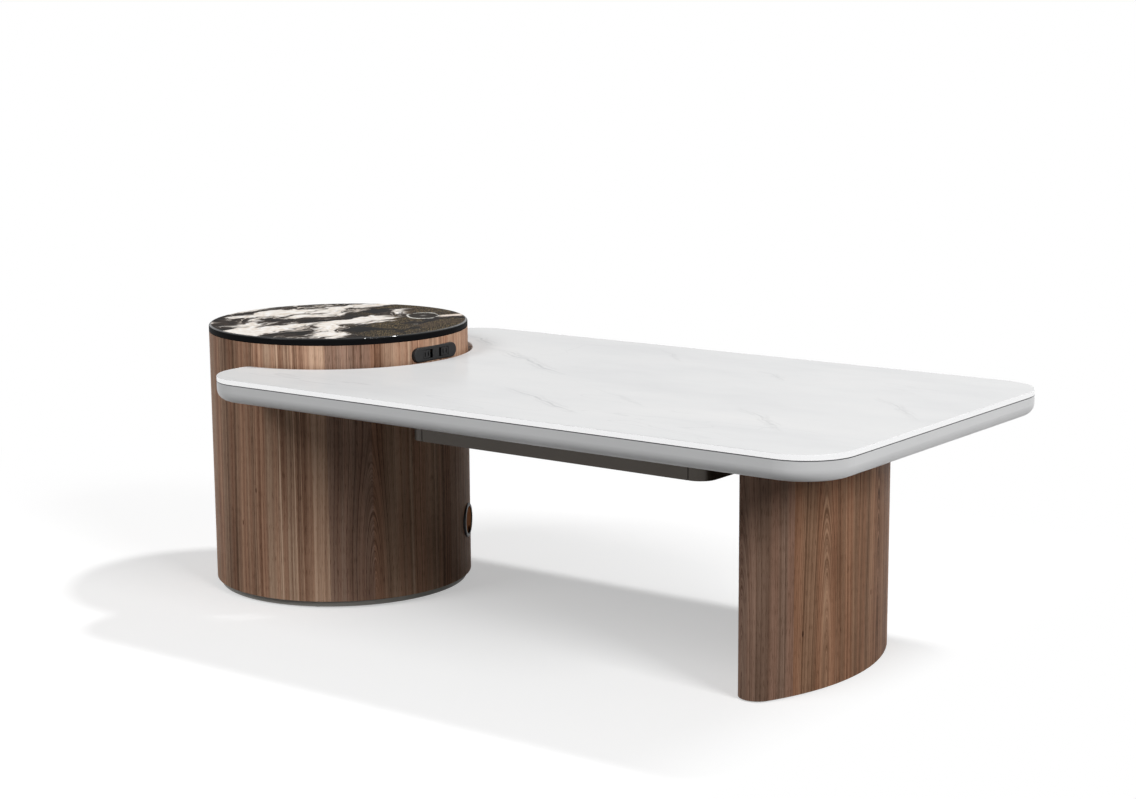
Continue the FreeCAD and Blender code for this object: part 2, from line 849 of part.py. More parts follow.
def drawer_front():
    """The front, cut from the same outline as the case, with a cove behind its lower edge."""
    half = inner_half_width - front_gap
    strip = block((case_x - half, front_y, case_bottom),
                  (case_x + half, box_front, base_bottom - front_top_gap))
    front = case_body().common(strip)
    cove = laid_along_x(rod(finger_cove_radius, 0, 0, 0, finger_gap_width))
    tools = [moved(cove, case_x - finger_gap_width / 2, box_front, case_bottom)]
    depth = front_screw_length - box_wall
    hole = laid_along_y(rod(screw_radius + shank_clearance, 0, 0, -depth - shank_clearance, 0))
    tools += [moved(hole, x, box_front, runner_z) for x in front_screw_places()]
    return cut_all(front, tools)


def front_screw_places():
    """Where the drawer front is screwed to the box behind it."""
    return [case_x + share * 2 * box_half_width for share in front_screw_shares]


def bottom_outline():
    """The drawer's bottom board, which runs into grooves all round."""
    half = box_half_width - box_wall + groove_depth
    low = box_front + box_wall - groove_depth
    high = box_front + box_depth - box_wall + groove_depth
    return (case_x - half, low), (case_x + half, high)


def drawer_bottom():
    """The bottom board."""
    low, high = bottom_outline()
    z = box_bottom + bottom_lift
    return block((low[0], low[1], z), (high[0], high[1], z + bottom_board))


def groove_cutter():
    """The groove that the bottom board slides into, a little larger than the board."""
    low, high = bottom_outline()
    z = box_bottom + bottom_lift
    gap = seat_clearance / 2
    return block((low[0] - gap, low[1] - gap, z - gap),
                 (high[0] + gap, high[1] + gap, z + bottom_board + gap))


def drawer_sides():
    """The two sides of the drawer box."""
    sides = []
    for side in (-1, 1):
        near = case_x + side * (box_half_width - box_wall)
        far = case_x + side * box_half_width
        body = block((min(near, far), box_front, box_bottom),
                     (max(near, far), box_front + box_depth, box_top))
        hole = laid_along_x(rod(screw_radius + shank_clearance, 0, 0, -runner_screw_length, 0))
        holes = [moved(hole, far + max(0, -side) * runner_screw_length, y, runner_z)
                 for y in runner_screw_places()]
        sides.append(cut_all(body, holes + [groove_cutter()]))
    return Part.makeCompound(sides)


def box_end(low, tools):
    """A board across the drawer box, between its sides."""
    half = box_half_width - box_wall
    board = block((case_x - half, low, box_bottom), (case_x + half, low + box_wall, box_top))
    return cut_all(board, tools + [groove_cutter()])


def drawer_inner_front():
    """The front board of the drawer box."""
    hole = laid_along_y(rod(screw_radius + shank_clearance, 0, 0, -overrun, box_wall + overrun))
    return box_end(box_front, [moved(hole, x, box_front, runner_z) for x in front_screw_places()])


def drawer_back():
    """The back board of the drawer box."""
    return box_end(box_front + box_depth - box_wall, [])


def drawer_front_screws():
    """The screws from inside the drawer into its front."""
    one = laid_along_y(upside_down(screw(front_screw_length)))
    seat = box_front + box_wall
    return Part.makeCompound([moved(one, x, seat, runner_z) for x in front_screw_places()])


# Drawer runners

def runner_screw_places():
    """Where each runner is screwed, along its length."""
    return [share * runner_length for share in runner_screw_shares]


def channel(web_x, tip_x, half_height):
    """A runner member on the +X side: a web with two flanges that point from it to tip_x."""
    low = min(web_x, tip_x)
    high = max(web_x, tip_x)
    half = runner_length / 2
    body = block((low, -half, runner_z - half_height), (high, half, runner_z + half_height))
    web = runner_sheet if tip_x > web_x else -runner_sheet
    hollow_low = min(web_x + web, tip_x + (overrun if tip_x > web_x else -overrun))
    hollow_high = max(web_x + web, tip_x + (overrun if tip_x > web_x else -overrun))
    inner = half_height - runner_sheet
    return body.cut(block((hollow_low, -half - overrun, runner_z - inner),
                          (hollow_high, half + overrun, runner_z + inner)))


def both_sides(shape):
    """A piece on the +X side of the drawer and its mirror image."""
    return Part.makeCompound([shape, mirrored_x(shape, case_x)])


def case_face():
    """The inner face of the case on the +X side."""
    return case_x + inner_half_width


def box_face():
    """The outer face of the drawer box on the +X side."""
    return case_x + box_half_width


def outer_runner_screws(gap=0.0):
    """Countersunk screws from the outer member into the case, on the +X side."""
    one = flat_screw(runner_screw_length, runner_sheet, gap)
    one = laid_along_x(upside_down(one))
    return [moved(one, case_face() - runner_sheet, y, runner_z) for y in runner_screw_places()]


def inner_runner_screws(gap=0.0):
    """Countersunk screws from the inner member into the drawer, on the +X side."""
    one = laid_along_x(flat_screw(runner_screw_length, runner_sheet, gap))
    return [moved(one, box_face() + runner_sheet, y, runner_z) for y in runner_screw_places()]


def runner_outer():
    """The outer members, on the case."""
    member = channel(case_face(), box_face() + runner_tip_gap, runner_height / 2)
    return both_sides(cut_all(member, outer_runner_screws(running_clearance)))


def runner_middle():
    """The middle members, which run between the other two."""
    web = case_face() - runner_sheet - runner_play
    tip = box_face() + runner_tip_gap
    return both_sides(channel(web, tip, runner_height / 2 - runner_sheet - runner_play))


def runner_inner():
    """The inner members, on the drawer."""
    tip = case_face() - 2 * (runner_sheet + runner_play)
    half_height = runner_height / 2 - 2 * (runner_sheet + runner_play)
    member = channel(box_face(), tip, half_height)
    return both_sides(cut_all(member, inner_runner_screws(running_clearance)))


def runner_case_screws():
    """The screws of the outer members."""
    return both_sides(Part.makeCompound(outer_runner_screws()))


def runner_drawer_screws():
    """The screws of the inner members."""
    return both_sides(Part.makeCompound(inner_runner_screws()))


# Cabinet

def cabinet_wall():
    """The round veneered wall, with its openings for the socket, the cable and the bracket."""
    wall = tube(cabinet_radius, inner_radius, plinth_top_height, wall_top)
    half_width_cut = socket_box_half_width + seat_clearance
    half_height_cut = socket_box_half_height + seat_clearance
    window = block((inner_radius - wall_thickness, -half_width_cut, socket_z - half_height_cut),
                   (cabinet_radius + overrun, half_width_cut, socket_z + half_height_cut))
    window = turned(window, socket_angle)
    cable_hole = rod(grommet_body_radius + seat_clearance, 0, 0, inner_radius - overrun,
                     cabinet_radius + overrun)
    cable_hole = turned(moved(laid_along_x(cable_hole), 0, 0, outlet_height_z), outlet_angle)
    bolt_holes = wall_bolt_holes(inner_radius - overrun, cabinet_radius + overrun)
    return at_cabinet(cut_all(wall, [window, cable_hole] + bolt_holes))


def cabinet_plinth():
    """The recessed ring under the wall and the floor board."""
    outer = cabinet_radius - plinth_inset
    return at_cabinet(tube(outer, outer - plinth_width, glide_thickness, plinth_top_height))


def cabinet_floor():
    """The round floor board, which rests on the plinth."""
    return at_cabinet(rod(inner_radius - seat_clearance, 0, 0, plinth_top_height, floor_top))


def cabinet_glides():
    """The pads under the plinth."""
    radius = cabinet_radius - plinth_inset - plinth_width / 2
    pads = []
    for index in range(cabinet_glide_count):
        x, y = polar(radius, full_turn * index / cabinet_glide_count)
        pads.append(rod(glide_radius, x, y, 0, glide_thickness))
    return at_cabinet(Part.makeCompound(pads))


def hob_disc():
    """The glossy disc that closes the cabinet, round above and finely chamfered below."""
    disc = rod(cabinet_radius, 0, 0, wall_top, overall_height)
    disc = disc.makeFillet(disc_round, edges_at(disc, overall_height))
    return at_cabinet(disc.makeChamfer(disc_chamfer, edges_at(disc, wall_top)))


def hob_stadium(radius, low, high):
    """A slot-shaped solid over both cooking places."""
    return moved(prism(stadium_outline(hob_half_pitch, radius), low, high), -hob_centre_offset)


def tray_screw_places():
    """Where the tray's flange is screwed down: round both ends and at the middle of each side."""
    ring = tray_radius + tray_flange / 2
    places = [(ring - hob_centre_offset, 0), (-ring - hob_centre_offset, 0)]
    for side in (-1, 1):
        for degrees in (quarter_turn / 2, quarter_turn * 3 / 2):
            x, y = polar(ring, side * degrees)
            places.append((x - hob_centre_offset, side * hob_half_pitch + y))
    return places


def tray_screw(gap=0.0):
    """One countersunk screw in the tray's flange."""
    return flat_screw(tray_screw_length, tray_sheet, gap)


def hob_board():
    """The board that carries the hob tray, with a rebate for the tray's flange."""
    low = wall_top - hob_board_thickness
    board = rod(inner_radius - seat_clearance, 0, 0, low, wall_top)
    well = hob_stadium(tray_radius + tray_gap, low - overrun, wall_top + overrun)
    rebate = hob_stadium(tray_radius + tray_flange + tray_gap, wall_top - tray_sheet, wall_top + overrun)
    holes = [moved(tray_screw(shank_clearance), x, y, wall_top) for x, y in tray_screw_places()]
    return at_cabinet(cut_all(board, [well, rebate] + holes))


def board_cleats():
    """Blocks on the inside of the wall that the hob board rests on."""
    high = wall_top - hob_board_thickness
    low = high - cleat_height
    inner = inner_radius - cleat_depth
    half = cleat_width / 2
    one = tube(inner_radius, inner - overrun, low, high).common(
        block((inner, -half, low), (inner_radius + overrun, half, high)))
    return at_cabinet(Part.makeCompound([turned(one, angle) for angle in cleat_angles]))


def hob_tray():
    """The sheet-steel tray that hangs in the board, with vents and bosses in its floor."""
    tray = hob_stadium(tray_radius, tray_bottom, wall_top)
    tray = tray.fuse(hob_stadium(tray_radius + tray_flange, wall_top - tray_sheet, wall_top))
    tray = tray.cut(hob_stadium(tray_radius - tray_sheet, tray_floor, wall_top + overrun))
    bosses = [rod(boss_radius, x, y, tray_floor, circuit_bottom) for x, y in boss_places()]
    tray = tray.multiFuse(bosses)
    tools = [moved(tray_screw(running_clearance), x, y, wall_top) for x, y in tray_screw_places()]
    low = tray_bottom - overrun
    high = tray_floor + overrun
    tools.append(rod(fan_bore_radius - fan_strut_thickness, -hob_centre_offset, 0, low, high))
    first = -vent_pitch * (vent_count - 1) / 2 - hob_centre_offset
    vent_half_length = pad_radius * vent_share / 2
    for index in range(vent_count):
        x = first + vent_pitch * index
        y = -hob_half_pitch
        tools.append(block((x - vent_width / 2, y - vent_half_length, low),
                           (x + vent_width / 2, y + vent_half_length, high)))
    return at_cabinet(cut_all(tray, tools))


def hob_tray_screws():
    """The screws of the tray."""
    return at_cabinet(Part.makeCompound([moved(tray_screw(), x, y, wall_top)
                                         for x, y in tray_screw_places()]))


def at_both_hobs(shape):
    """A piece drawn about the origin, put under both cooking places."""
    pair = [moved(shape, -hob_centre_offset, side * hob_half_pitch) for side in (-1, 1)]
    return at_cabinet(Part.makeCompound(pair))


def heat_pads():
    """The insulating pads between the coils and the disc."""
    return at_both_hobs(rod(pad_radius, 0, 0, wall_top - pad_thickness, wall_top))


def induction_coils():
    """The flat windings, each as a plain ring."""
    return at_both_hobs(tube(coil_radius, coil_radius * coil_bore_share, coil_bottom,
                             wall_top - pad_thickness))


def coil_carriers():
    """Ribbed discs on three posts that press the coils up against their pads."""
    low = coil_bottom - carrier_thickness
    carrier = rod(pad_radius, 0, 0, low, coil_bottom)
    rib = block((0, -carrier_rib_width / 2, low - carrier_rib_height),
                (pad_radius, carrier_rib_width / 2, low))
    rib = rib.common(rod(pad_radius, 0, 0, low - carrier_rib_height, low))
    ribs = [turned(rib, full_turn * index / carrier_rib_count) for index in range(carrier_rib_count)]
    posts = []
    for angle in post_angles:
        x, y = polar(post_offset, angle)
        posts.append(rod(post_radius, x, y, tray_floor, low))
    return at_both_hobs(carrier.multiFuse(ribs + posts))


def boss_places():
    """The tray's bosses under the corners of the circuit board."""
    half_x = circuit_width / 2 - boss_inset
    half_y = circuit_length / 2 - boss_inset
    return [(x * half_x - hob_centre_offset, y * half_y + hob_half_pitch)
            for x in (-1, 1) for y in (-1, 1)]


def control_board():
    """The circuit board under one coil, with its tallest parts."""
    board = block((-circuit_width / 2, -circuit_length / 2, circuit_bottom),
                  (circuit_width / 2, circuit_length / 2, circuit_top))
    x = circuit_width / 2 - capacitor_radius - boss_inset
    y = circuit_length / 2 - capacitor_radius - boss_inset
    parts = [rod(capacitor_radius, x, y, circuit_top, circuit_top + capacitor_height),
             rod(capacitor_radius, -x, y, circuit_top, circuit_top + capacitor_height),
             rod(choke_radius, 0, y, circuit_top, circuit_top + choke_height)]
    return at_cabinet(moved(board.multiFuse(parts), -hob_centre_offset, hob_half_pitch))


def heat_sink():
    """The finned block that cools the power switches."""
    low = circuit_top
    half_x = sink_length / 2
    y = boss_inset - circuit_length / 2
    foot = block((-half_x, y, low), (half_x, y + sink_width, low + sink_foot))
    step = (sink_width - sink_fin) / (sink_fin_count - 1)
    fins = []
    for index in range(sink_fin_count):
        fin_y = y + step * index
        fins.append(block((-half_x, fin_y, low), (half_x, fin_y + sink_fin, low + sink_height)))
    return at_cabinet(moved(foot.multiFuse(fins), -hob_centre_offset, hob_half_pitch))


def fan_frame():
    """The square housing of the fan, with struts that carry its shaft."""
    half = fan_size / 2
    high = tray_floor + fan_depth
    frame = prism(rounded_outline(-half, half, -half, half, fan_corner), tray_floor, high)
    frame = frame.cut(rod(fan_bore_radius, 0, 0, tray_floor - overrun, high + overrun))
    strut_top = tray_floor + fan_strut_thickness
    parts = [rod(fan_hub_radius, 0, 0, tray_floor, strut_top),
             rod(fan_shaft_radius, 0, 0, strut_top, high - fan_strut_thickness)]
    strut = block((0, -fan_strut_width / 2, tray_floor),
                  (fan_bore_radius + fan_strut_width / 4, fan_strut_width / 2, strut_top))
    parts += [turned(strut, full_turn * index / fan_strut_count) for index in range(fan_strut_count)]
    return at_cabinet(moved(frame.multiFuse(parts), -hob_centre_offset))


def fan_rotor():
    """The hub and its pitched blades, which turn on the shaft."""
    low = tray_floor + fan_strut_thickness + seat_clearance
    high = tray_floor + fan_depth - seat_clearance
    hub = rod(fan_hub_radius, 0, 0, low, high)
    reach = fan_bore_radius - fan_tip_gap
    blade = block((fan_hub_radius / 2, -fan_blade_chord / 2, -fan_blade_thickness / 2),
                  (reach + overrun, fan_blade_chord / 2, fan_blade_thickness / 2))
    blade.rotate(vector(0, 0), vector(1, 0), fan_blade_pitch)
    blade = moved(blade, 0, 0, (low + high) / 2)
    blade = blade.common(rod(reach, 0, 0, low, high))
    blades = [turned(blade, full_turn * index / fan_blade_count) for index in range(fan_blade_count)]
    rotor = hub.multiFuse(blades)
    bore_top = tray_floor + fan_depth - fan_strut_thickness + seat_clearance
    rotor = rotor.cut(rod(fan_shaft_radius + running_clearance, 0, 0, low - overrun, bore_top))
    return at_cabinet(moved(rotor, -hob_centre_offset))


# Socket

def at_socket(shape):
    """A piece drawn about the cabinet's axis, turned to where the socket sits in the wall."""
    return at_cabinet(turned(shape, socket_angle))


def core_places():
    """The middle of each outlet core: both stand off the middle, away from the deep slot."""
    shift = (outlet_width - core_width) / 2 - outlet_depth / 2
    return [side * (outlet_offset + shift) for side in (-1, 1)]


def core_block(gap):
    """Both outlet cores as solids, or with a gap as the windows that they fill."""
    cores = []
    for y in core_places():
        cores.append(block((socket_front - core_depth - gap, y - core_width / 2 - gap,
                            socket_z - core_height / 2 - gap),
                           (socket_front - core_sink, y + core_width / 2 + gap,
                            socket_z + core_height / 2 + gap)))
    return cores


def socket_bezel():
    """The stadium-shaped surround: flat in front, curved behind to sit on the wall."""
    radius = socket_height / 2
    plate = prism(stadium_outline(socket_length / 2 - radius, radius), 0, wall_thickness)
    plate = plate.makeFillet(socket_bevel, edges_at(plate, wall_thickness))
    plate = moved(laid_along_x(plate), socket_front - wall_thickness, 0, socket_z)
    low = socket_z - socket_height
    high = socket_z + socket_height
    plate = plate.cut(rod(cabinet_radius, 0, 0, low, high))
    clips = []
    reach = socket_box_half_width - socket_box_wall
    for side in (-1, 1):
        near = side * (reach - clip_thickness - seat_clearance)
        far = side * (reach - seat_clearance)
        clips.append(block((cabinet_radius - clip_width, min(near, far), socket_z - clip_width / 2),
                           (cabinet_radius, max(near, far), socket_z + clip_width / 2)))
    plate = plate.multiFuse(clips)
    tools = []
    for side in (-1, 1):
        y = side * outlet_offset
        tools.append(block((socket_front - outlet_depth, y - outlet_width / 2, socket_z - outlet_height / 2),
                           (socket_front + overrun, y + outlet_width / 2, socket_z + outlet_height / 2)))
    return at_socket(cut_all(plate, tools + core_block(seat_clearance / 2)))


def socket_cores():
    """The two outlet cores, each with a pair of upright pin slots."""
    cores = []
    for core, y in zip(core_block(0), core_places()):
        slots = []
        for side in (-1, 1):
            middle = y + side * pin_slot_pitch / 2
            slots.append(block((socket_front - core_depth - overrun, middle - pin_slot_width / 2,
                                socket_z - pin_slot_height / 2),
                               (socket_front + overrun, middle + pin_slot_width / 2,
                                socket_z + pin_slot_height / 2)))
        cores.append(cut_all(core, slots))
    return at_socket(Part.makeCompound(cores))


def socket_box():
    """The open box behind the surround, in the window of the wall."""
    half_y = socket_box_half_width
    half_z = socket_box_half_height
    wall = socket_box_wall
    back = cabinet_radius - socket_box_depth
    body = block((back, -half_y, socket_z - half_z), (cabinet_radius, half_y, socket_z + half_z))
    hollow = block((back + wall, wall - half_y, socket_z - half_z + wall),
                   (cabinet_radius + overrun, half_y - wall, socket_z + half_z - wall))
    body = body.common(rod(cabinet_radius, 0, 0, socket_z - socket_height, socket_z + socket_height))
    return at_socket(body.cut(hollow))


def socket_contacts():
    """Pairs of brass leaves behind each pin slot, standing on the back of the box."""
    back = cabinet_radius - socket_box_depth + socket_box_wall
    front = socket_front - core_depth
    leaves = []
    for y in core_places():
        for side in (-1, 1):
            middle = y + side * pin_slot_pitch / 2
            outer = pin_slot_width / 2 + contact_thickness
            foot = block((back, middle - outer, socket_z - contact_height / 2),
                         (back + contact_thickness, middle + outer, socket_z + contact_height / 2))
            body = block((back, middle - outer, socket_z - contact_height / 2),
                         (front, middle + outer, socket_z + contact_height / 2))
            gap = block((back, middle - pin_slot_width / 2, socket_z - contact_height),
                        (front + overrun, middle + pin_slot_width / 2, socket_z + contact_height))
            leaves.append(body.cut(gap).fuse(foot).removeSplitter())
    return at_socket(Part.makeCompound(leaves))


# Cable outlet

def at_outlet(shape):
    """A piece drawn upright about the origin, put in the wall with its top outwards."""
    return at_cabinet(turned(moved(laid_along_x(shape), 0, 0, outlet_height_z), outlet_angle))


def cable_grommet():
    """The lined ring: a flat-faced flange that sits on the curved wall, and a short sleeve."""
    face = cabinet_radius + grommet_proud
    flange = rod(grommet_radius, 0, 0, inner_radius, face)
    flange = flange.makeFillet(grommet_round, edges_at(flange, face))
    wall = laid_along_x(rod(cabinet_radius, 0, 0, -cabinet_radius, cabinet_radius))
    flange = flange.cut(wall)
    sleeve = rod(grommet_body_radius, 0, 0, inner_radius, face - grommet_round)
    bore = rod(grommet_body_radius - grommet_wall, 0, 0, inner_radius - overrun, face + overrun)
    seat_low = face - cap_sink - cap_thickness - grommet_wall
    ledge = rod(grommet_body_radius - grommet_wall, 0, 0, seat_low, face - cap_sink - cap_thickness)
    ledge = ledge.cut(rod(grommet_body_radius - 2 * grommet_wall, 0, 0, seat_low - overrun, face))
    return at_outlet(flange.fuse(sleeve).cut(bore).fuse(ledge).removeSplitter())


def grommet_cap():
    """The round lid, with a slot at its lower edge for the cable."""
    face = cabinet_radius + grommet_proud - cap_sink
    radius = grommet_body_radius - grommet_wall - seat_clearance
    cap = rod(radius, 0, 0, face - cap_thickness, face)
    half = cable_slot_width / 2
    top = cable_slot_height - radius
    edges = [line((half, -radius - overrun), (half, top - half)),
             arc((half, top - half), (0, top), (-half, top - half)),
             line((-half, top - half), (-half, -radius - overrun)),
             line((-half, -radius - overrun), (half, -radius - overrun))]
    slot = prism(edges, face - cap_thickness - overrun, face + overrun)
    slot.rotate(vector(0, 0), vector(0, 0, 1), quarter_turn)
    return at_outlet(cap.cut(slot))


def main():
    """Write one file for each piece."""
    os.makedirs("parts", exist_ok=True)
    pieces = (stone_top, top_base, top_frame, under_panel, panel_screws,
              cabinet_bracket, bracket_backing, wall_bolts, wall_nuts, bracket_bolts,
              leg_shell, leg_top_plate, leg_top_block, leg_bottom_block, leg_ribs, leg_bolts, leg_glides,
              case_sides, case_back, case_top, case_floor, case_screws,
              drawer_front, drawer_inner_front, drawer_sides, drawer_back, drawer_bottom,
              drawer_front_screws, runner_outer, runner_middle, runner_inner,
              runner_case_screws, runner_drawer_screws,
              cabinet_wall, cabinet_plinth, cabinet_floor, cabinet_glides,
              hob_disc, hob_board, board_cleats, hob_tray, hob_tray_screws,
              heat_pads, induction_coils, coil_carriers, control_board, heat_sink,
              fan_frame, fan_rotor,
              socket_bezel, socket_cores, socket_box, socket_contacts,
              cable_grommet, grommet_cap)
    for piece in pieces:
        shape = piece()
        shape.exportStep("parts/" + piece.__name__ + ".step")
        print(piece.__name__, len(shape.Solids), "solids, valid", shape.isValid())
    print(len(pieces), "pieces; drawer travel", drawer_travel)


main()
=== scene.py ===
# %% [markdown]
# # Dressing a tea table
# The table has a round veneered cabinet with a two-place induction hob in its lid, a long pale
# stone top that runs into the cabinet, a shallow drawer under it and one lens-shaped leg.
# Its solids come ready made in a fixed frame. This lesson gives every piece the finish it has on
# the real table, swaps the plain fasteners and coils for detailed ones, and sets up a small studio.

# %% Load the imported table
import bmesh
import bpy
import math
from mathutils import Matrix, Vector


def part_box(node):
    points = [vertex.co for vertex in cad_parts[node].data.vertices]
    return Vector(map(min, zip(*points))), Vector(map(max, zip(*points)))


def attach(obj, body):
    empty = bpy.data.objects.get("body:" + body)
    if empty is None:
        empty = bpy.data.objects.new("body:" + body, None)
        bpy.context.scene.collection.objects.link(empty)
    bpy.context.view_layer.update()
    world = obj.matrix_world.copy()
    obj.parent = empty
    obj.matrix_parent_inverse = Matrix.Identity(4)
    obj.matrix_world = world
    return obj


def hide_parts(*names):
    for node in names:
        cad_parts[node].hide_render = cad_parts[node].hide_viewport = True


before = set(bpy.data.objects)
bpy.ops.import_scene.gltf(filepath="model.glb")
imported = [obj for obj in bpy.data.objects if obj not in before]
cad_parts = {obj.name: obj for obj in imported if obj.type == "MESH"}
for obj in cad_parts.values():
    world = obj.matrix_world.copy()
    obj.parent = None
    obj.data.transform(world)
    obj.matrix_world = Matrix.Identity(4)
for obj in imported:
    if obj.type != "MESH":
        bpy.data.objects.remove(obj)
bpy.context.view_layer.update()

# %% [markdown]
# ## The camera
# The picture was taken from the front right, a little above the top, with a long lens from well
# over three metres away. The place and the three angles were found by fitting straight edges and
# round edges of the table, so they are typed here as they came out. A camera looks along its own
# -Z, so its axes are built from the viewing direction, and the roll is put in last.

# %% Camera
image_width = 1136
focal_pixels = 2137.3
camera_place = Vector((2.0721, -2.7241, 0.9750))
yaw = -0.644925
pitch = 0.175855
roll = -0.006783


def add_object(name, data):
    """Puts a new object into the scene."""
    thing = bpy.data.objects.new(name, data)
    bpy.context.scene.collection.objects.link(thing)
    return thing


flat_part = math.cos(pitch)
forward = Vector((math.sin(yaw) * flat_part, math.cos(yaw) * flat_part, -math.sin(pitch)))
level = Vector((math.cos(yaw), -math.sin(yaw), 0.0))
upward = level.cross(forward)
right_hand = level * math.cos(roll) + upward * math.sin(roll)
overhead = upward * math.cos(roll) - level * math.sin(roll)
axes = Matrix((right_hand, overhead, -forward)).transposed()

camera_data = bpy.data.cameras.new("camera")
camera_data.sensor_fit = "HORIZONTAL"
camera_data.sensor_width = 36.0
camera_data.lens = camera_data.sensor_width * focal_pixels / image_width
camera = add_object("camera", camera_data)
camera.matrix_world = Matrix.LocRotScale(camera_place, axes, None)
bpy.context.scene.camera = camera
print("camera with a", round(camera_data.lens, 1), "mm lens")

# %% [markdown]
# ## Small helpers for node trees
# Every finish below is a graph of nodes, and so is every Geometry Nodes piece. Writing a graph by
# hand takes three lines a node, so these helpers add a node, feed it and give back its answer.
# One tree at a time lies on the bench, and every helper works on that tree. A value goes straight
# into a socket, and a socket is linked to a socket.

# %% Node helpers
bench = {}


def lay_out(tree):
    """Puts a tree on the bench, in place of the last one."""
    bench["tree"] = tree
    return tree


def link(socket, end):
    """Links an output to an input."""
    bench["tree"].links.new(socket, end)


def put(kind, inputs=None, **settings):
    """Adds a node, applies its settings and feeds its inputs with values or with sockets."""
    node = bench["tree"].nodes.new(kind)
    for name, value in settings.items():
        setattr(node, name, value)
    for key, value in (inputs or {}).items():
        if isinstance(value, bpy.types.NodeSocket):
            link(value, node.inputs[key])
        else:
            node.inputs[key].default_value = value
    return node


def made(kind, inputs, **settings):
    """The first output of a new node."""
    return put(kind, inputs, **settings).outputs[0]


print("the bench is ready")

# %% Number helpers
def calc(operation, *values):
    """One step of arithmetic."""
    return made("ShaderNodeMath", dict(enumerate(values)), operation=operation)


def times(first, second):
    """A product."""
    return calc("MULTIPLY", first, second)


def minus(first, second):
    """A difference."""
    return calc("SUBTRACT", first, second)


def miss(value, target):
    """How far a value is from its target, either way."""
    return calc("ABSOLUTE", minus(value, target))


def total(*terms):
    """The sum of (value, weight) pairs."""
    answer = None
    for value, weight in terms:
        answer = calc("MULTIPLY_ADD", value, weight, 0.0 if answer is None else answer)
    return answer


def diagonal(first, second):
    """The long side over two sides at a right angle."""
    squares = [(calc("POWER", side, 2.0), 1.0) for side in (first, second)]
    return calc("SQRT", total(*squares))


def choose(switch, first, second):
    """The first value where the switch is 0 and the second where it is 1."""
    return total((first, 1.0), (times(switch, minus(second, first)), 1.0))


def between(value, low, high):
    """0 below low, 1 above high and a smooth step between them; low may be the larger one."""
    sizes = {"Value": value, "From Min": low, "From Max": high}
    return put("ShaderNodeMapRange", sizes, interpolation_type="SMOOTHSTEP").outputs["Result"]


print("number helpers ready")

# %% Place helpers
ORIGIN = (0.0, 0.0, 0.0)


def split(place):
    """The three parts of a place."""
    return put("ShaderNodeSeparateXYZ", {0: place}).outputs


def join(x=0.0, y=0.0, z=0.0):
    """A place from its three parts."""
    return made("ShaderNodeCombineXYZ", {0: x, 1: y, 2: z})


def place_calc(operation, *values):
    """One step of arithmetic on places."""
    node = put("ShaderNodeVectorMath", dict(enumerate(values)), operation=operation)
    return node.outputs["Value" if operation == "LENGTH" else "Vector"]


def stretched(place, *factors):
    """A place with each direction stretched by its own factor."""
    return place_calc("MULTIPLY", place, factors)


def mapped(place, **changes):
    """A place after a Location, a Rotation or a Scale."""
    return made("ShaderNodeMapping", {"Vector": place, **changes})


def about_z(degrees):
    """A rotation about the upright axis."""
    return (0.0, 0.0, math.radians(degrees))


print("place helpers ready")

# %% Noise and colour helpers
def clouds(place, scale, detail=2.0, roughness=0.5, distortion=0.0, output="Fac"):
    """Soft noise over a place in space, round 0.5."""
    sizes = {"Vector": place, "Scale": scale, "Detail": detail, "Roughness": roughness,
             "Distortion": distortion}
    return put("ShaderNodeTexNoise", sizes).outputs[output]


def streaks(distance, scale, detail=2.0, roughness=0.5):
    """Soft noise along one line, round 0.5."""
    sizes = {"W": distance, "Scale": scale, "Detail": detail, "Roughness": roughness}
    return put("ShaderNodeTexNoise", sizes, noise_dimensions="1D").outputs["Fac"]


def tint(factor, first, second, mode="MIX"):
    """Two colours mixed by a factor."""
    colours = {0: factor, 6: first, 7: second}
    return put("ShaderNodeMix", colours, data_type="RGBA", blend_type=mode).outputs[2]


def colours_by(factor, *stops):
    """A colour read from a ramp of (position, red, green, blue) stops."""
    node = put("ShaderNodeValToRGB", {"Fac": factor})
    while len(node.color_ramp.elements) < len(stops):
        node.color_ramp.elements.new(1.0)
    for element, (position, *parts) in zip(node.color_ramp.elements, stops):
        element.position = position
        element.color = colour(*parts)
    return node.outputs["Color"]


def colour(red, green, blue):
    """A colour with no transparency."""
    return (red, green, blue, 1.0)


print("noise and colour helpers ready")

# %% [markdown]
# ## Shared effects as node groups
# Wood figure, unrolled surfaces, cloudy gloss and the texture of paint are wanted by more than one
# finish. Each is a shader node group: it is built once, and a finish places it with its own
# numbers. A group gives only colours, masks, values and heights, and the shader stays outside.

# %% Group helpers
def start_group(name, gives, **takes):
    """Lays out an empty group and gives its two ends; _ stands for a space in a name."""
    group = lay_out(bpy.data.node_groups.new(name, "ShaderNodeTree"))
    for label, value in takes.items():
        kind = "NodeSocketVector" if isinstance(value, tuple) else "NodeSocketFloat"
        label = label.replace("_", " ")
        group.interface.new_socket(name=label, in_out="INPUT", socket_type=kind).default_value = value
    for label in gives:
        kind = "NodeSocketColor" if label == "Colour" else "NodeSocketFloat"
        group.interface.new_socket(name=label, in_out="OUTPUT", socket_type=kind)
    return put("NodeGroupInput").outputs, put("NodeGroupOutput").inputs


def close_group(ends, **answers):
    """Links each answer to the group's output of that name, and gives the group."""
    group = bench["tree"]
    for name, socket in answers.items():
        link(socket, ends[name])
    print("group", group.name, "has", len(group.nodes), "nodes")
    return group


def use(group, **inputs):
    """Places a group and gives its outputs; _ stands for a space in an input's name."""
    named = {name.replace("_", " "): value for name, value in inputs.items()}
    return put("ShaderNodeGroup", named, node_tree=group).outputs


print("group helpers ready")

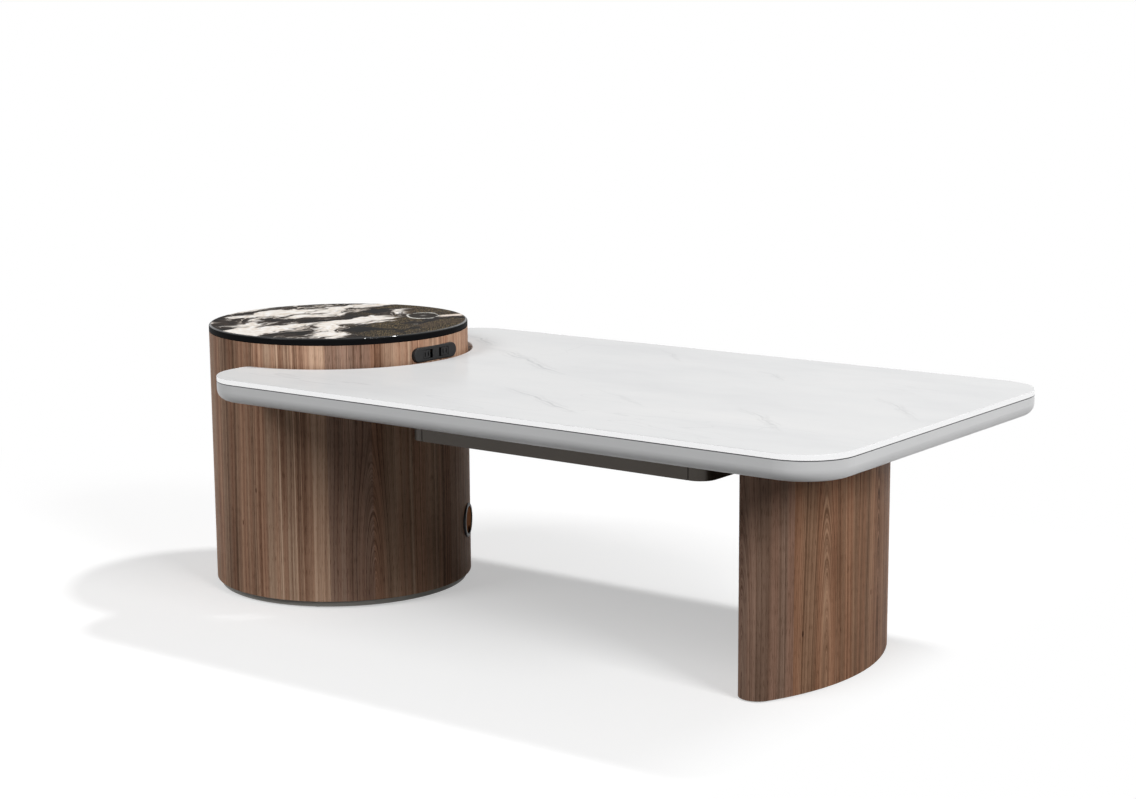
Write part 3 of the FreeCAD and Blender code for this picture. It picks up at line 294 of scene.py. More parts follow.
# %% [markdown]
# ## Unrolling the cabinet's wall
# On the real cabinet, sheets of veneer are bent round a drum, so the figure follows the surface
# and never cuts through it as a solid block's would. The group turns a place on the wall into how
# far it is round the drum and how high, both in metres. Its joint lies at the back. Outer is 1 on
# the veneer and 0 on the board under it.

# %% Unroll the drum
cabinet_low, cabinet_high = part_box("cabinet_wall")
cabinet_x = (cabinet_low.x + cabinet_high.x) / 2
cabinet_radius = (cabinet_high.x - cabinet_low.x) / 2
joint_angle = math.radians(100.0)
veneer_depth = 0.0005
board_depth = 0.0009

given, ends = start_group("unroll_drum", ("Across", "Along", "Outer"), Place=ORIGIN)
turned = mapped(given["Place"], Location=(-cabinet_x, 0.0, 0.0))
turned = mapped(turned, Rotation=(0.0, 0.0, math.pi - joint_angle))
x, y, z = split(turned)
outer = between(diagonal(x, y), cabinet_radius - board_depth, cabinet_radius - veneer_depth)
across = times(calc("ARCTAN2", y, x), cabinet_radius)
unroll_drum = close_group(ends, Across=across, Along=z, Outer=outer)
print("drum radius", round(cabinet_radius, 4), "m")

# %% [markdown]
# ## Unrolling the leg
# The leg is two shallow arcs joined by two small ones, and its veneer runs round all four. The
# distance along the skin comes from the angle at each arc's own centre. The sheet starts and
# ends at the back tip.

# %% Unroll the leg
leg_low, leg_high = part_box("leg_shell")
leg_x = (leg_low.x + leg_high.x) / 2
half_thick = (leg_high.x - leg_low.x) / 2
half_long = leg_high.y
tip_radius = 0.028
tip_y = half_long - tip_radius
face_radius = (tip_y ** 2 + half_thick ** 2 - tip_radius ** 2) / (2 * (half_thick - tip_radius))
face_back = face_radius - half_thick
touch_angle = math.asin(tip_y / (face_radius - tip_radius))
face_run = face_radius * touch_angle
half_run = face_run + tip_radius * (math.pi / 2 - touch_angle)

given, ends = start_group("unroll_leg", ("Across", "Along", "Outer"), Place=ORIGIN)
x, y, z = split(given["Place"])
x = minus(x, leg_x)
far_x = calc("ABSOLUTE", x)
far_y = calc("ABSOLUTE", y)
face_x = calc("ADD", far_x, face_back)
face_angle = calc("ARCTAN2", far_y, face_x)
past_tip = minus(far_y, tip_y)
tip_angle = calc("ARCTAN2", past_tip, far_x)
on_tip = calc("GREATER_THAN", face_angle, touch_angle)
face_way = times(face_angle, face_radius)
tip_way = calc("MULTIPLY_ADD", tip_angle, tip_radius, face_run - tip_radius * touch_angle)
way = times(choose(on_tip, face_way, tip_way), calc("SIGN", y))
behind = calc("LESS_THAN", x, 0.0)
round_back = calc("MULTIPLY_ADD", way, -2.0, -2.0 * half_run)
across = total((way, 1.0), (times(behind, round_back), 1.0))
face_depth = minus(face_radius, diagonal(face_x, y))
tip_depth = minus(tip_radius, diagonal(far_x, past_tip))
outer = between(choose(on_tip, face_depth, tip_depth), board_depth, veneer_depth)
unroll_leg = close_group(ends, Across=across, Along=z, Outer=outer)
print("once round the leg is", round(4 * half_run, 3), "m")

# %% [markdown]
# ## Walnut figure
# Veneer is sliced from a log, so its lines are the log's growth rings cut nearly along their
# length. Far from the heart of a slice the lines run straight, and over the heart they close into
# tall narrow arches. The group measures the distance to a leaning heart line, draws rings by that
# distance, and adds broad tone bands, a drift between pinkish and greyish brown, the joints
# between sheets, and the fine dark pores. Touch darkens or lightens the wood at single places, and
# Grey takes the warmth out of it.

# %% Walnut figure group
given, ends = start_group(
    "walnut_figure", ("Colour", "Height", "Pores"), Across=0.0, Along=0.0, Heart=0.0,
    Heart_Spacing=0.7, Arch_Base=0.02, Arch_Slope=0.06, Arch_Top=0.25, Sheet_Width=0.24,
    Sheet_Start=0.0, Seed=0.0, Tone=0.5, Contrast=1.0, Touch=0.0, Grey=0.0, Rings_Per_Metre=150.0)
across = given["Across"]
along = given["Along"]
seed = given["Seed"]
spacing = given["Heart Spacing"]
in_sheets = calc("DIVIDE", minus(across, given["Sheet Start"]), given["Sheet Width"])
sheet_place = join(calc("FLOOR", in_sheets), seed)
chance = made("ShaderNodeTexWhiteNoise", {"Vector": sheet_place}, noise_dimensions="3D")
grain_place = join(across, times(along, 0.16), calc("ADD", seed, chance))
sway = clouds(grain_place, 9.0, 1.0)
waver = clouds(grain_place, 60.0, 2.0)
bent = total((across, 1.0), (sway, 0.016), (waver, 0.0011))
from_heart = calc("WRAP", minus(bent, given["Heart"]), times(spacing, 0.5),
                  times(spacing, -0.5))
climb = calc("SMOOTH_MIN", along, given["Arch Top"], 0.10)
arch = total((climb, given["Arch Slope"]), (given["Arch Base"], 1.0))
ring_place = total((chance, 3.0), (diagonal(from_heart, arch), 1.0), (from_heart, 0.25))
print("rings stand round the heart line")

# %% Rings, pores and colour of the walnut
ring_tone = streaks(ring_place, given["Rings Per Metre"], 6.0, 0.80)
hair_tone = streaks(calc("ADD", ring_place, 5.0), 1100.0, 2.0, 0.7)
band_tone = streaks(calc("ADD", bent, seed), 19.0, 2.0, 0.55)
rare = streaks(calc("ADD", ring_place, 11.0), 105.0, 0.0)
dark_line = between(rare, 0.30, 0.15)
light_line = between(rare, 0.74, 0.84)
pore_place = join(times(bent, 1500.0), times(along, 55.0), seed)
pores = between(clouds(pore_place, 1.0, 1.0), 0.57, 0.70)
flow = clouds(grain_place, 22.0, 3.0, 0.6)
mixed_tone = total((ring_tone, 0.80), (hair_tone, 0.62), (band_tone, 0.42), (flow, 0.40),
                   (chance, 0.12), (dark_line, -0.10), (light_line, 0.13), (pores, -0.17))
usual_tone = 1.17
tone = calc("MULTIPLY_ADD", minus(mixed_tone, usual_tone), given["Contrast"], given["Tone"])
tone = calc("ADD", tone, given["Touch"])
wood_colour = colours_by(tone, (0.0, 0.050, 0.021, 0.011), (0.28, 0.190, 0.091, 0.050),
                         (0.50, 0.340, 0.176, 0.104), (0.72, 0.490, 0.268, 0.162),
                         (1.0, 0.700, 0.430, 0.275))
drift = streaks(calc("ADD", bent, 7.0), 34.0, 2.0)
for mask, cast in ((between(drift, 0.34, 0.66), colour(0.90, 1.00, 1.04)),
                   (given["Grey"], colour(0.87, 0.975, 1.16))):
    wood_colour = tint(mask, wood_colour, tint(1.0, wood_colour, cast, "MULTIPLY"))
grain_height = total((ring_tone, 0.5), (hair_tone, 0.5), (pores, -0.6))
walnut_figure = close_group(ends, Colour=wood_colour, Pores=pores, Height=grain_height)

# %% [markdown]
# ## Raw board
# Where the veneer ends, the board under it shows: pressed fibre of an even light brown with fine
# specks. The same board makes the floor, the hob's board and the blocks in the leg.

# %% Raw board group
given, ends = start_group("board_fibre", ("Colour", "Height"), Place=ORIGIN)
speck = clouds(given["Place"], 1400.0, 3.0, 0.7)
patch = clouds(given["Place"], 18.0, 2.0)
fibre_colour = colours_by(total((speck, 0.6), (patch, 0.4)), (0.25, 0.235, 0.165, 0.105),
                          (0.50, 0.365, 0.270, 0.180), (0.75, 0.480, 0.370, 0.260))
board_fibre = close_group(ends, Height=speck, Colour=fibre_colour)

# %% [markdown]
# ## Fine surface groups
# Sprayed paint has a faint orange peel, powder coat and moulded plastic have a tighter one, and
# everything that is handled or stands in a room has slightly cloudy gloss. One group gives the
# height of that texture, and one gives the cloudy gloss.

# %% Texture and gloss groups
given, ends = start_group("fine_peel", ("Height",), Place=ORIGIN, Grain=0.001)
per_metre = calc("DIVIDE", 1.0, given["Grain"])
fine_peel = close_group(ends, Height=clouds(given["Place"], per_metre, 2.0, 0.55))

given, ends = start_group("cloudy_gloss", ("Roughness", "Mask"), Place=ORIGIN, Low=0.3, High=0.4)
mask = between(clouds(given["Place"], 11.0, 4.0, 0.62), 0.32, 0.68)
gloss = calc("MULTIPLY_ADD", mask, minus(given["High"], given["Low"]), given["Low"])
cloudy_gloss = close_group(ends, Mask=mask, Roughness=gloss)

# %% [markdown]
# ## From groups to finishes
# A finish is a material with one Principled shader. The helper below starts one and hands it back
# with its shader and the place on the object. Another turns a height into the shader's normal.

# %% Finish helpers
def new_finish(name, **sockets):
    """A material with its shader and the object's own coordinates."""
    material = bpy.data.materials.new(name)
    material.use_nodes = True
    shader = lay_out(material.node_tree).nodes["Principled BSDF"]
    for key, value in sockets.items():
        shader.inputs[key.replace("_", " ")].default_value = value
    return material, shader, put("ShaderNodeTexCoord").outputs["Object"]


def feed(shader, **sockets):
    """Links sockets to the shader's inputs of those names."""
    for key, socket in sockets.items():
        link(socket, shader.inputs[key.replace("_", " ")])


def raise_by(shader, height, distance, strength=1.0):
    """Turns a height into the shader's normal."""
    bump = put("ShaderNodeBump", {"Height": height, "Distance": distance, "Strength": strength})
    feed(shader, Normal=bump.outputs["Normal"])


def wear(material, *names):
    """Gives CAD nodes a finish."""
    for name in names:
        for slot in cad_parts[name].material_slots:
            slot.material = material
    print(material.name, "on", ", ".join(names))


print("finish helpers ready")

# %% [markdown]
# ## Walnut on the cabinet and the leg
# Both wear satin lacquered walnut with the figure upright. The cabinet's arches stand right of
# the middle as the camera sees it. Left of them a sheet of straight figure ends in a pale strip,
# with two pale lines in it, and a few pin knots. Inside and on the cut edges the board shows.

# %% Walnut finishes
def pale_or_dark_line(flat, where, half_width, strength, core=0.45):
    """A straight line up the wood, full over its core and soft outside it; below 0 it is dark."""
    aside = miss(flat["Across"], where)
    return between(aside, half_width, half_width * core), strength


def pin_knot(flat, where, height, edge=0.0022, core=0.0008, width_by_height=0.35, darkness=0.42):
    """A small dark knot, taller than wide."""
    aside = minus(flat["Across"], where)
    above = times(minus(flat["Along"], height), width_by_height)
    return between(diagonal(aside, above), edge, core), -darkness


def walnut_finish(name, unroll, lines, knots, grey_from, grey_to, grey_elsewhere, **numbers):
    """Lacquered veneer on an unrolled surface, with board where the veneer ends."""
    material, shader, place = new_finish(name, IOR=1.05, Coat_Weight=0.08, Coat_Roughness=0.38)
    flat = use(unroll, Place=place)
    touches = [pale_or_dark_line(flat, *line) for line in lines]
    touches += [pin_knot(flat, *knot) for knot in knots]
    in_grey = times(calc("GREATER_THAN", flat["Across"], grey_from),
                    calc("LESS_THAN", flat["Across"], grey_to))
    grey = calc("MULTIPLY_ADD", in_grey, 1.0 - grey_elsewhere, grey_elsewhere)
    figure = use(walnut_figure, Across=flat["Across"], Along=flat["Along"],
                 Touch=total(*touches), Grey=grey, **numbers)
    board = use(board_fibre, Place=place)
    gloss = use(cloudy_gloss, Place=place, Low=0.40, High=0.48)
    feed(shader, Base_Color=tint(flat["Outer"], board["Colour"], figure["Colour"]),
         Roughness=calc("MULTIPLY_ADD", figure["Pores"], 0.08, gloss["Roughness"]))
    raise_by(shader, figure["Height"], 0.00010, 0.7)
    return material


def round_cabinet(degrees):
    """How far round the drum's skin an angle lies, as the unrolled figure counts it."""
    turned = (math.radians(degrees) + math.pi - joint_angle + math.pi) % math.tau - math.pi
    return turned * cabinet_radius


print("walnut helpers ready")

# %% Walnut on the cabinet
# The last broad pale line, at -14 degrees, is painted light: it lightens the wall right of the arches where
# light reflected from the slab brightens it.
cabinet_lines = [(-74.5, 0.0015, 0.58), (-72.6, 0.0045, -0.10), (-67.7, 0.0012, 0.36),
                 (-69.5, 0.0022, 0.12), (-64.8, 0.0011, 0.28), (-62.4, 0.0040, -0.10),
                 (-56.6, 0.0135, 0.22, 0.90), (-58.5, 0.0250, 0.08), (-44.0, 0.0360, -0.10, 0.90),
                 (-83.0, 0.0014, 0.16), (-79.0, 0.0300, 0.06), (-92.0, 0.0030, 0.12),
                 (-14.0, 0.0700, 0.07)]
cabinet_lines = [(round_cabinet(degrees), *rest) for degrees, *rest in cabinet_lines]
cabinet_knots = [(round_cabinet(-87.4), 0.197), (round_cabinet(-96.2), 0.1365)]
walnut_cabinet = walnut_finish(
    "walnut_cabinet", unroll_drum, cabinet_lines, cabinet_knots, round_cabinet(-53.2),
    round_cabinet(-34.0), 0.45, Heart=round_cabinet(-31.5), Heart_Spacing=0.72, Arch_Base=-0.001,
    Arch_Slope=0.10, Arch_Top=0.26, Sheet_Width=0.236, Sheet_Start=round_cabinet(-53.2), Seed=3.0,
    Tone=0.635, Contrast=1.55)
wear(walnut_cabinet, "cabinet_wall")

# %% Walnut on the leg
leg_lines = [(-0.159, 0.0016, 0.14), (-0.173, 0.0320, -0.09, 0.97), (0.000, 0.1300, 0.07),
             (0.066, 0.0014, -0.12)]
leg_knots = [(-0.1235, 0.0925), (0.052, 0.120)]
walnut_leg = walnut_finish(
    "walnut_leg", unroll_leg, leg_lines, leg_knots, -0.40, -0.141, 0.06, Heart=-0.062,
    Heart_Spacing=0.158, Arch_Base=-0.001, Arch_Slope=0.080, Arch_Top=0.31, Sheet_Width=0.30,
    Sheet_Start=-0.141, Seed=8.0, Tone=0.405, Contrast=1.20, Rings_Per_Metre=112.0)
wear(walnut_leg, "leg_shell")

# %% [markdown]
# ## The stone top
# The top is a pressed and polished stone slab, white with faint clouds and hair-thin grey veins. A
# few feathery streaks stand out, all on much the same slant, each a long soft patch that noise
# frays and breaks. Finer veins run between them where warped noise passes its middle value.
# The cut edge is polished, and its near-white colour is a painted highlight. A dark grey band
# at its foot is painted shade in the joint's groove.

# %% Stone streak group
given, ends = start_group("stone_streak", ("Mask",), Place=ORIGIN, Centre=ORIGIN, Slant=ORIGIN,
                                Size=(0.1, 0.01, 1.0), Strength=1.0)
strength = given["Strength"]
streak_frame = {"Vector": given["Place"], "Location": given["Centre"], "Rotation": given["Slant"],
                "Scale": given["Size"]}
lined_up = made("ShaderNodeMapping", streak_frame, vector_type="TEXTURE")
along, aside = split(lined_up)[:2]
wander = clouds(join(times(along, 1.3), strength), 1.0, 3.0)
aside = total((aside, 1.0), (wander, 3.2), (-1.6, 1.0))
fray_place = join(times(along, 2.2), times(aside, 2.4), strength)
fray = between(clouds(fray_place, 1.0, 4.0, 0.65), 0.42, 0.66)
off_line = calc("ABSOLUTE", aside)
fade = between(calc("ABSOLUTE", along), 1.0, 0.35)
frayed = times(between(off_line, 1.0, 0.0), fray)
thin = between(off_line, 0.22, 0.02)
feather = times(total((frayed, 0.75), (thin, 0.45)), fade)
stone_streak = close_group(ends, Mask=times(feather, strength))

# %% Stone top finish
stone_streaks = [(-0.100, 0.066, -30.0, 0.170, 0.020, 1.00), (-0.180, 0.120, -27.0, 0.110, 0.015, 0.80),
                 (0.130, -0.208, -28.0, 0.150, 0.016, 0.95), (0.215, -0.122, -31.0, 0.100, 0.010, 0.45),
                 (0.045, 0.265, -43.0, 0.085, 0.010, 0.55), (0.300, 0.182, -36.0, 0.060, 0.012, 0.70),
                 (0.485, -0.150, -40.0, 0.110, 0.015, 0.75), (0.605, 0.035, -44.0, 0.110, 0.013, 0.70),
                 (-0.335, 0.220, -31.0, 0.090, 0.018, 0.85)]
stone, shader, place = new_finish("polished_white_stone", IOR=1.04)
in_plan = stretched(place, 1.0, 1.0, 0.0)
slanted = mapped(in_plan, Rotation=about_z(35.0), Scale=(0.50, 1.40, 1.0))
vein_miss = miss(clouds(slanted, 2.6, 4.0, 0.52, 0.35), 0.5)
vein_gate = between(clouds(slanted, 1.9, 1.0), 0.48, 0.64)
thin_vein = times(between(vein_miss, 0.0040, 0.0004), vein_gate)
streak = 0.0
for centre_x, centre_y, slant, half_length, half_width, strength in stone_streaks:
    feathers = use(stone_streak, Place=in_plan, Centre=(centre_x, centre_y, 0.0),
                   Slant=about_z(slant), Size=(half_length, half_width, 1.0), Strength=strength)
    streak = calc("MAXIMUM", streak, feathers["Mask"])
body = colours_by(clouds(slanted, 4.5, 4.0, 0.58), (0.30, 0.636, 0.639, 0.645),
                  (0.50, 0.680, 0.682, 0.684), (0.72, 0.707, 0.706, 0.704))
body = tint(times(thin_vein, 0.30), body, colour(0.46, 0.465, 0.475))
body = tint(times(streak, 0.60), body, colour(0.41, 0.415, 0.425))
print("veins and", len(stone_streaks), "streaks laid")

# %% The slab's painted edge highlight and painted joint shade
slab_bottom, slab_top = [corner.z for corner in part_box("stone_top")]
edge_highlight_start = 0.0003
edge_highlight_full = 0.0009
joint_shade_start = 0.0009
joint_shade_full = 0.0006
height = split(place)[2]
# Painted highlight: the side below the top's arris is coloured near white, brighter than the top, and made
# metallic so it mirrors the bright room.
edge_highlight = between(height, slab_top - edge_highlight_start, slab_top - edge_highlight_full)
body = tint(edge_highlight, body, colour(0.955, 0.957, 0.962))
# Painted shade: a dark grey band at the slab's foot darkens the groove of the joint.
joint_shade = between(height, slab_bottom + joint_shade_start, slab_bottom + joint_shade_full)
body = tint(joint_shade, body, colour(0.16, 0.16, 0.165))
mirror = times(edge_highlight, calc("MULTIPLY_ADD", joint_shade, -0.78, 0.78))
gloss = use(cloudy_gloss, Place=place, Low=0.17, High=0.24)
feed(shader, Base_Color=body, Roughness=gloss["Roughness"], Metallic=mirror)
wear(stone, "stone_top")

# %% [markdown]
# ## Paints
# The base under the stone is sprayed pale grey and rubbed to a satin. The drawer's case and front
# are a warm bronze lacquer with a fine metal flake, and the plinth is a darker satin grey.

# %% Paint finishes
def paint_finish(name, red, green, blue, low, high, grain, joint_shade_height=None, **sockets):
    """Sprayed paint with a little orange peel and cloudy gloss, and maybe painted shade at the joint above
    it.
    """
    material, shader, place = new_finish(name, **sockets)
    gloss = use(cloudy_gloss, Place=place, Low=low, High=high)
    darker, paler = [colour(red * part, green * part, blue * part) for part in (0.95, 1.05)]
    paint = tint(clouds(place, 3.0, 2.0), darker, paler)
    # Painted shade: a near-black band at the top of the paint darkens the groove under the slab.
    if joint_shade_height is not None:
        joint_shade = between(split(place)[2], joint_shade_height - joint_shade_start, joint_shade_height - joint_shade_full)
        paint = tint(joint_shade, paint, colour(0.10, 0.10, 0.105))
    feed(shader, Base_Color=paint, Roughness=gloss["Roughness"])
    peel = use(fine_peel, Place=place, Grain=grain)
    raise_by(shader, peel["Height"], grain * 0.012, 0.6)
    return material


wear(paint_finish("pale_grey_lacquer", 0.680, 0.683, 0.688, 0.32, 0.40, 0.0014, slab_bottom),
     "top_base", "under_panel")
wear(paint_finish("bronze_lacquer", 0.070, 0.056, 0.043, 0.32, 0.40, 0.0010, Metallic=0.25),
     "case_sides", "case_back", "case_top", "case_floor", "drawer_front")
wear(paint_finish("plinth_paint", 0.300, 0.286, 0.260, 0.42, 0.50, 0.0012), "cabinet_plinth")
wear(paint_finish("black_powder_coat", 0.022, 0.022, 0.023, 0.48, 0.58, 0.0005),
     "top_frame", "cabinet_bracket", "bracket_backing", "leg_top_plate")

# %% [markdown]
# ## The hob's lid
# The lid is one polished disc of dark stone under glass: black and deep brown ground, cream veins
# that swirl and open into white clouds, a pale oval loop near the far side, and brown patches with
# a fine upright fibre. Layers are laid one over the other, each with its own mask.

# %% Dark marble finish
marble, shader, place = new_finish("dark_marble", Specular_IOR_Level=0.0, Coat_Roughness=0.03)
on_disc = mapped(place, Location=(-cabinet_x, 0.0, 0.0))
on_disc = stretched(on_disc, 1.0, 1.0, 0.0)
lay = mapped(on_disc, Rotation=about_z(-37.0))
lay_x, lay_y = split(lay)[:2]
swirl = clouds(lay, 8.0, 3.0, 0.55, output="Color")
swirl = place_calc("SUBTRACT", swirl, (0.5, 0.5, 0.5))
swirled = place_calc("MULTIPLY_ADD", swirl, (0.12, 0.12, 0.0), lay)
drawn_out = stretched(mapped(swirled, Rotation=about_z(-56.0)), 0.42, 1.0, 1.0)
ground = colours_by(clouds(drawn_out, 16.0, 4.0, 0.6), (0.35, 0.0030, 0.0028, 0.0028),
                    (0.55, 0.0090, 0.0065, 0.0052), (0.75, 0.055, 0.032, 0.020))
print("dark ground laid")

# %% Brown fibre and cream clouds
fibre = clouds(stretched(lay, 620.0, 45.0, 1.0), 1.0, 2.0, 0.6)
fibre_colour = colours_by(fibre, (0.36, 0.006, 0.004, 0.002), (0.50, 0.036, 0.025, 0.011),
                          (0.66, 0.150, 0.104, 0.048))
to_right = total((lay_x, 1.0), (clouds(lay, 9.0, 3.0), 0.16), (-0.08, 1.0))
to_right = between(to_right, 0.000, 0.075)
patches = between(clouds(swirled, 14.0, 3.0), 0.44, 0.54)
ground = tint(times(patches, to_right), ground, fibre_colour)
to_left = between(lay_x, 0.135, 0.0)
cream_field = total((clouds(drawn_out, 11.0, 5.0, 0.62), 1.0), (to_left, 0.09))
halo = times(between(cream_field, 0.50, 0.58), 0.40)
ground = tint(halo, ground, colour(0.080, 0.052, 0.034))
cream = times(between(cream_field, 0.558, 0.618), between(to_left, 0.0, 0.2))
cream_colour = colours_by(clouds(swirled, 70.0, 3.0), (0.30, 0.66, 0.57, 0.48),
                          (0.50, 0.82, 0.77, 0.71), (0.70, 0.90, 0.88, 0.86))
ground = tint(cream, ground, cream_colour)
vein_miss = miss(clouds(drawn_out, 10.0, 3.0, 0.5), 0.47)
vein_gate = between(clouds(swirled, 7.0, 1.0), 0.40, 0.58)
thin_vein = times(between(vein_miss, 0.007, 0.001), vein_gate)
thin_vein = times(thin_vein, between(to_right, 1.3, 0.0))
ground = tint(thin_vein, ground, colour(0.62, 0.55, 0.48))
print("cream and brown laid")

# %% The pale loop and its band
loop_radius = 0.0350
loop_place = mapped(lay, Location=(-0.1445, -0.050, 0.0))
loop_reach = place_calc("LENGTH", stretched(loop_place, 1.0, 0.70, 1.0))
loop_reach = calc("MULTIPLY_ADD", clouds(lay, 24.0, 2.0), 0.016, loop_reach)
band_miss = total((lay_y, 1.0), (lay_x, -0.35), (clouds(lay, 30.0, 2.0), 0.03))
band_miss = calc("ABSOLUTE", band_miss)
band = times(between(lay_x, 0.168, 0.180), between(band_miss, 0.017, 0.006))
ground = tint(band, ground, colour(0.76, 0.66, 0.58))
ground = tint(between(loop_reach, loop_radius, 0.031), ground, colour(0.020, 0.015, 0.010))
inner_spot = between(loop_reach, 0.018, 0.008)
ground = tint(times(inner_spot, 0.5), ground, colour(0.40, 0.38, 0.35))
loop_line = times(between(miss(loop_reach, loop_radius), 0.0026, 0.0008),
                  between(clouds(lay, 45.0, 2.0), 0.32, 0.46))
ground = tint(loop_line, ground, colour(0.66, 0.64, 0.60))
print("loop laid")

# %% The disc's plain rim
rim_start = cabinet_radius - 0.0050
rim_full = cabinet_radius - 0.0022
disc_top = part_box("hob_disc")[1].z
arris_start = disc_top - 0.0020
arris_full = disc_top - 0.0014
disc_reach = place_calc("LENGTH", on_disc)
rim = between(disc_reach, rim_start, rim_full)
ground = tint(rim, ground, colour(0.004, 0.004, 0.0045))
arris = times(rim, between(split(place)[2], arris_start, arris_full))
gloss = use(cloudy_gloss, Place=place, Low=0.05, High=0.09)
feed(shader, Base_Color=ground, Roughness=gloss["Roughness"],
     Coat_Weight=calc("MULTIPLY_ADD", arris, 0.70, 0.08))
wear(marble, "hob_disc")

# %% [markdown]
# ## Boards
# The drawer's box is made of boards faced with a printed light oak film, and the hidden structure
# is raw pressed board.

# %% Board finishes
raw_board, shader, place = new_finish("raw_board", Roughness=0.82, Specular_IOR_Level=0.3)
board = use(board_fibre, Place=place)
feed(shader, Base_Color=board["Colour"])
raise_by(shader, board["Height"], 0.00008)
wear(raw_board, "cabinet_floor", "hob_board", "board_cleats", "leg_top_block", "leg_bottom_block", "leg_ribs")

drawer_film, shader, place = new_finish("drawer_film", Specular_IOR_Level=0.4)
grain = clouds(stretched(place, 9.0, 420.0, 300.0), 1.0, 3.0, 0.6)
wide = clouds(stretched(place, 2.0, 30.0, 30.0), 1.0, 2.0)
film = colours_by(total((grain, 0.55), (wide, 0.45)), (0.30, 0.330, 0.255, 0.180),
                  (0.50, 0.450, 0.365, 0.275), (0.72, 0.560, 0.470, 0.370))
gloss = use(cloudy_gloss, Place=place, Low=0.42, High=0.52)
feed(shader, Base_Color=film, Roughness=gloss["Roughness"])
raise_by(shader, grain, 0.00008, 0.6)
wear(drawer_film, "drawer_inner_front", "drawer_sides", "drawer_back", "drawer_bottom")

# %% [markdown]
# ## Metals
# Runners, screws and the hob's tray are zinc plated, with the faint crystal cloud of plating. The
# cooling fins are plain aluminium drawn in one direction, the contacts are brass and the windings
# are enamelled copper.

# %% Metal finishes
def metal_finish(name, red, green, blue, low, high, *stretch):
    """Bare or plated metal with drawn lines in one direction."""
    material, shader, place = new_finish(name, Metallic=1.0)
    lines = clouds(stretched(place, *stretch), 1.0, 2.0, 0.6)
    gloss = use(cloudy_gloss, Place=place, Low=low, High=high)
    shade = total((lines, 0.5), (gloss["Mask"], 0.5))
    dim = colour(red * 0.82, green * 0.82, blue * 0.82)
    feed(shader, Base_Color=tint(shade, dim, colour(red, green, blue)),
         Roughness=calc("MULTIPLY_ADD", lines, 0.10, gloss["Roughness"]))
    raise_by(shader, lines, 0.00002, 0.5)
    return material


zinc_plate = metal_finish("zinc_plate", 0.62, 0.63, 0.65, 0.24, 0.36, 160.0, 160.0, 160.0)
coil_copper = metal_finish("coil_copper", 0.62, 0.27, 0.12, 0.26, 0.36, 300.0, 300.0, 300.0)
wear(zinc_plate, "panel_screws", "wall_bolts", "wall_nuts", "bracket_bolts", "leg_bolts", "case_screws",
     "drawer_front_screws", "runner_case_screws", "runner_drawer_screws", "hob_tray", "hob_tray_screws")
wear(coil_copper, "induction_coils")
wear(metal_finish("runner_steel", 0.62, 0.63, 0.65, 0.22, 0.34, 900.0, 9.0, 900.0),
     "runner_outer", "runner_middle", "runner_inner")
wear(metal_finish("fin_aluminium", 0.70, 0.71, 0.72, 0.30, 0.42, 900.0, 12.0, 900.0), "heat_sink")
wear(metal_finish("contact_brass", 0.78, 0.56, 0.26, 0.24, 0.34, 500.0, 500.0, 40.0), "socket_contacts")

# %% [markdown]
# ## Plastics and pads
# The socket, the cable ring, the fan and the coil carriers are moulded in satin black, and the
# cable ring's lid is a glossy brown. The glides are dull rubber, the pads over the coils are pale
# mineral felt, and the circuit board is green lacquer over faint copper lines.

# %% Plastic and pad finishes
wear(paint_finish("black_plastic", 0.010, 0.010, 0.0105, 0.40, 0.48, 0.0006, IOR=1.35),
     "coil_carriers", "fan_frame", "fan_rotor", "socket_bezel", "socket_cores", "socket_box", "cable_grommet")
wear(paint_finish("brown_plastic", 0.042, 0.027, 0.019, 0.16, 0.22, 0.0016, Metallic=1.0,
                  Specular_Tint=colour(0.36, 0.27, 0.21)), "grommet_cap")
wear(paint_finish("glide_rubber", 0.030, 0.029, 0.028, 0.72, 0.85, 0.0004), "leg_glides", "cabinet_glides")

mineral_felt, shader, place = new_finish("mineral_felt", Roughness=0.95, Specular_IOR_Level=0.2)
hairs = clouds(place, 700.0, 4.0, 0.7, 1.5)
feed(shader, Base_Color=colours_by(hairs, (0.3, 0.55, 0.54, 0.51), (0.7, 0.74, 0.73, 0.70)))
raise_by(shader, hairs, 0.0003)
wear(mineral_felt, "heat_pads")

circuit_lacquer, shader, place = new_finish("circuit_lacquer", Roughness=0.28)
tracks = {"Vector": stretched(place, 90.0, 60.0, 0.0), "Mortar Size": 0.035, "Scale": 1.0,
          "Color1": colour(0.012, 0.085, 0.035), "Color2": colour(0.014, 0.100, 0.040),
          "Mortar": colour(0.045, 0.190, 0.060)}
feed(shader, Base_Color=put("ShaderNodeTexBrick", tracks).outputs["Color"])
wear(circuit_lacquer, "control_board")

# %% [markdown]
# ## Fasteners by rule
# The screws and bolts of the solids are plain. A real one has a sloped crown and a driver's recess.
# Each kind repeats many times, so a Geometry Nodes tree makes one fastener from named sizes and
# stands it on every point of a small mesh, and the points come from the solids.

# %% Find the fasteners in the solids
def loose_parts(name):
    """The points of each solid in a node."""
    shape = bmesh.new()
    shape.from_mesh(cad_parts[name].data)
    bmesh.ops.remove_doubles(shape, verts=shape.verts, dist=1e-6)
    waiting = dict.fromkeys(shape.verts)
    parts = []
    while waiting:
        part = [waiting.popitem()[0]]
        for vertex in part:
            for edge in vertex.link_edges:
                other = edge.other_vert(vertex)
                if other in waiting:
                    del waiting[other]
                    part.append(other)
        parts.append([vertex.co.copy() for vertex in part])
    shape.free()
    return parts


def middle_of(points):
    """The middle of the box round some points."""
    low = Vector([min(point[axis] for point in points) for axis in range(3)])
    high = Vector([max(point[axis] for point in points) for axis in range(3)])
    return (low + high) / 2


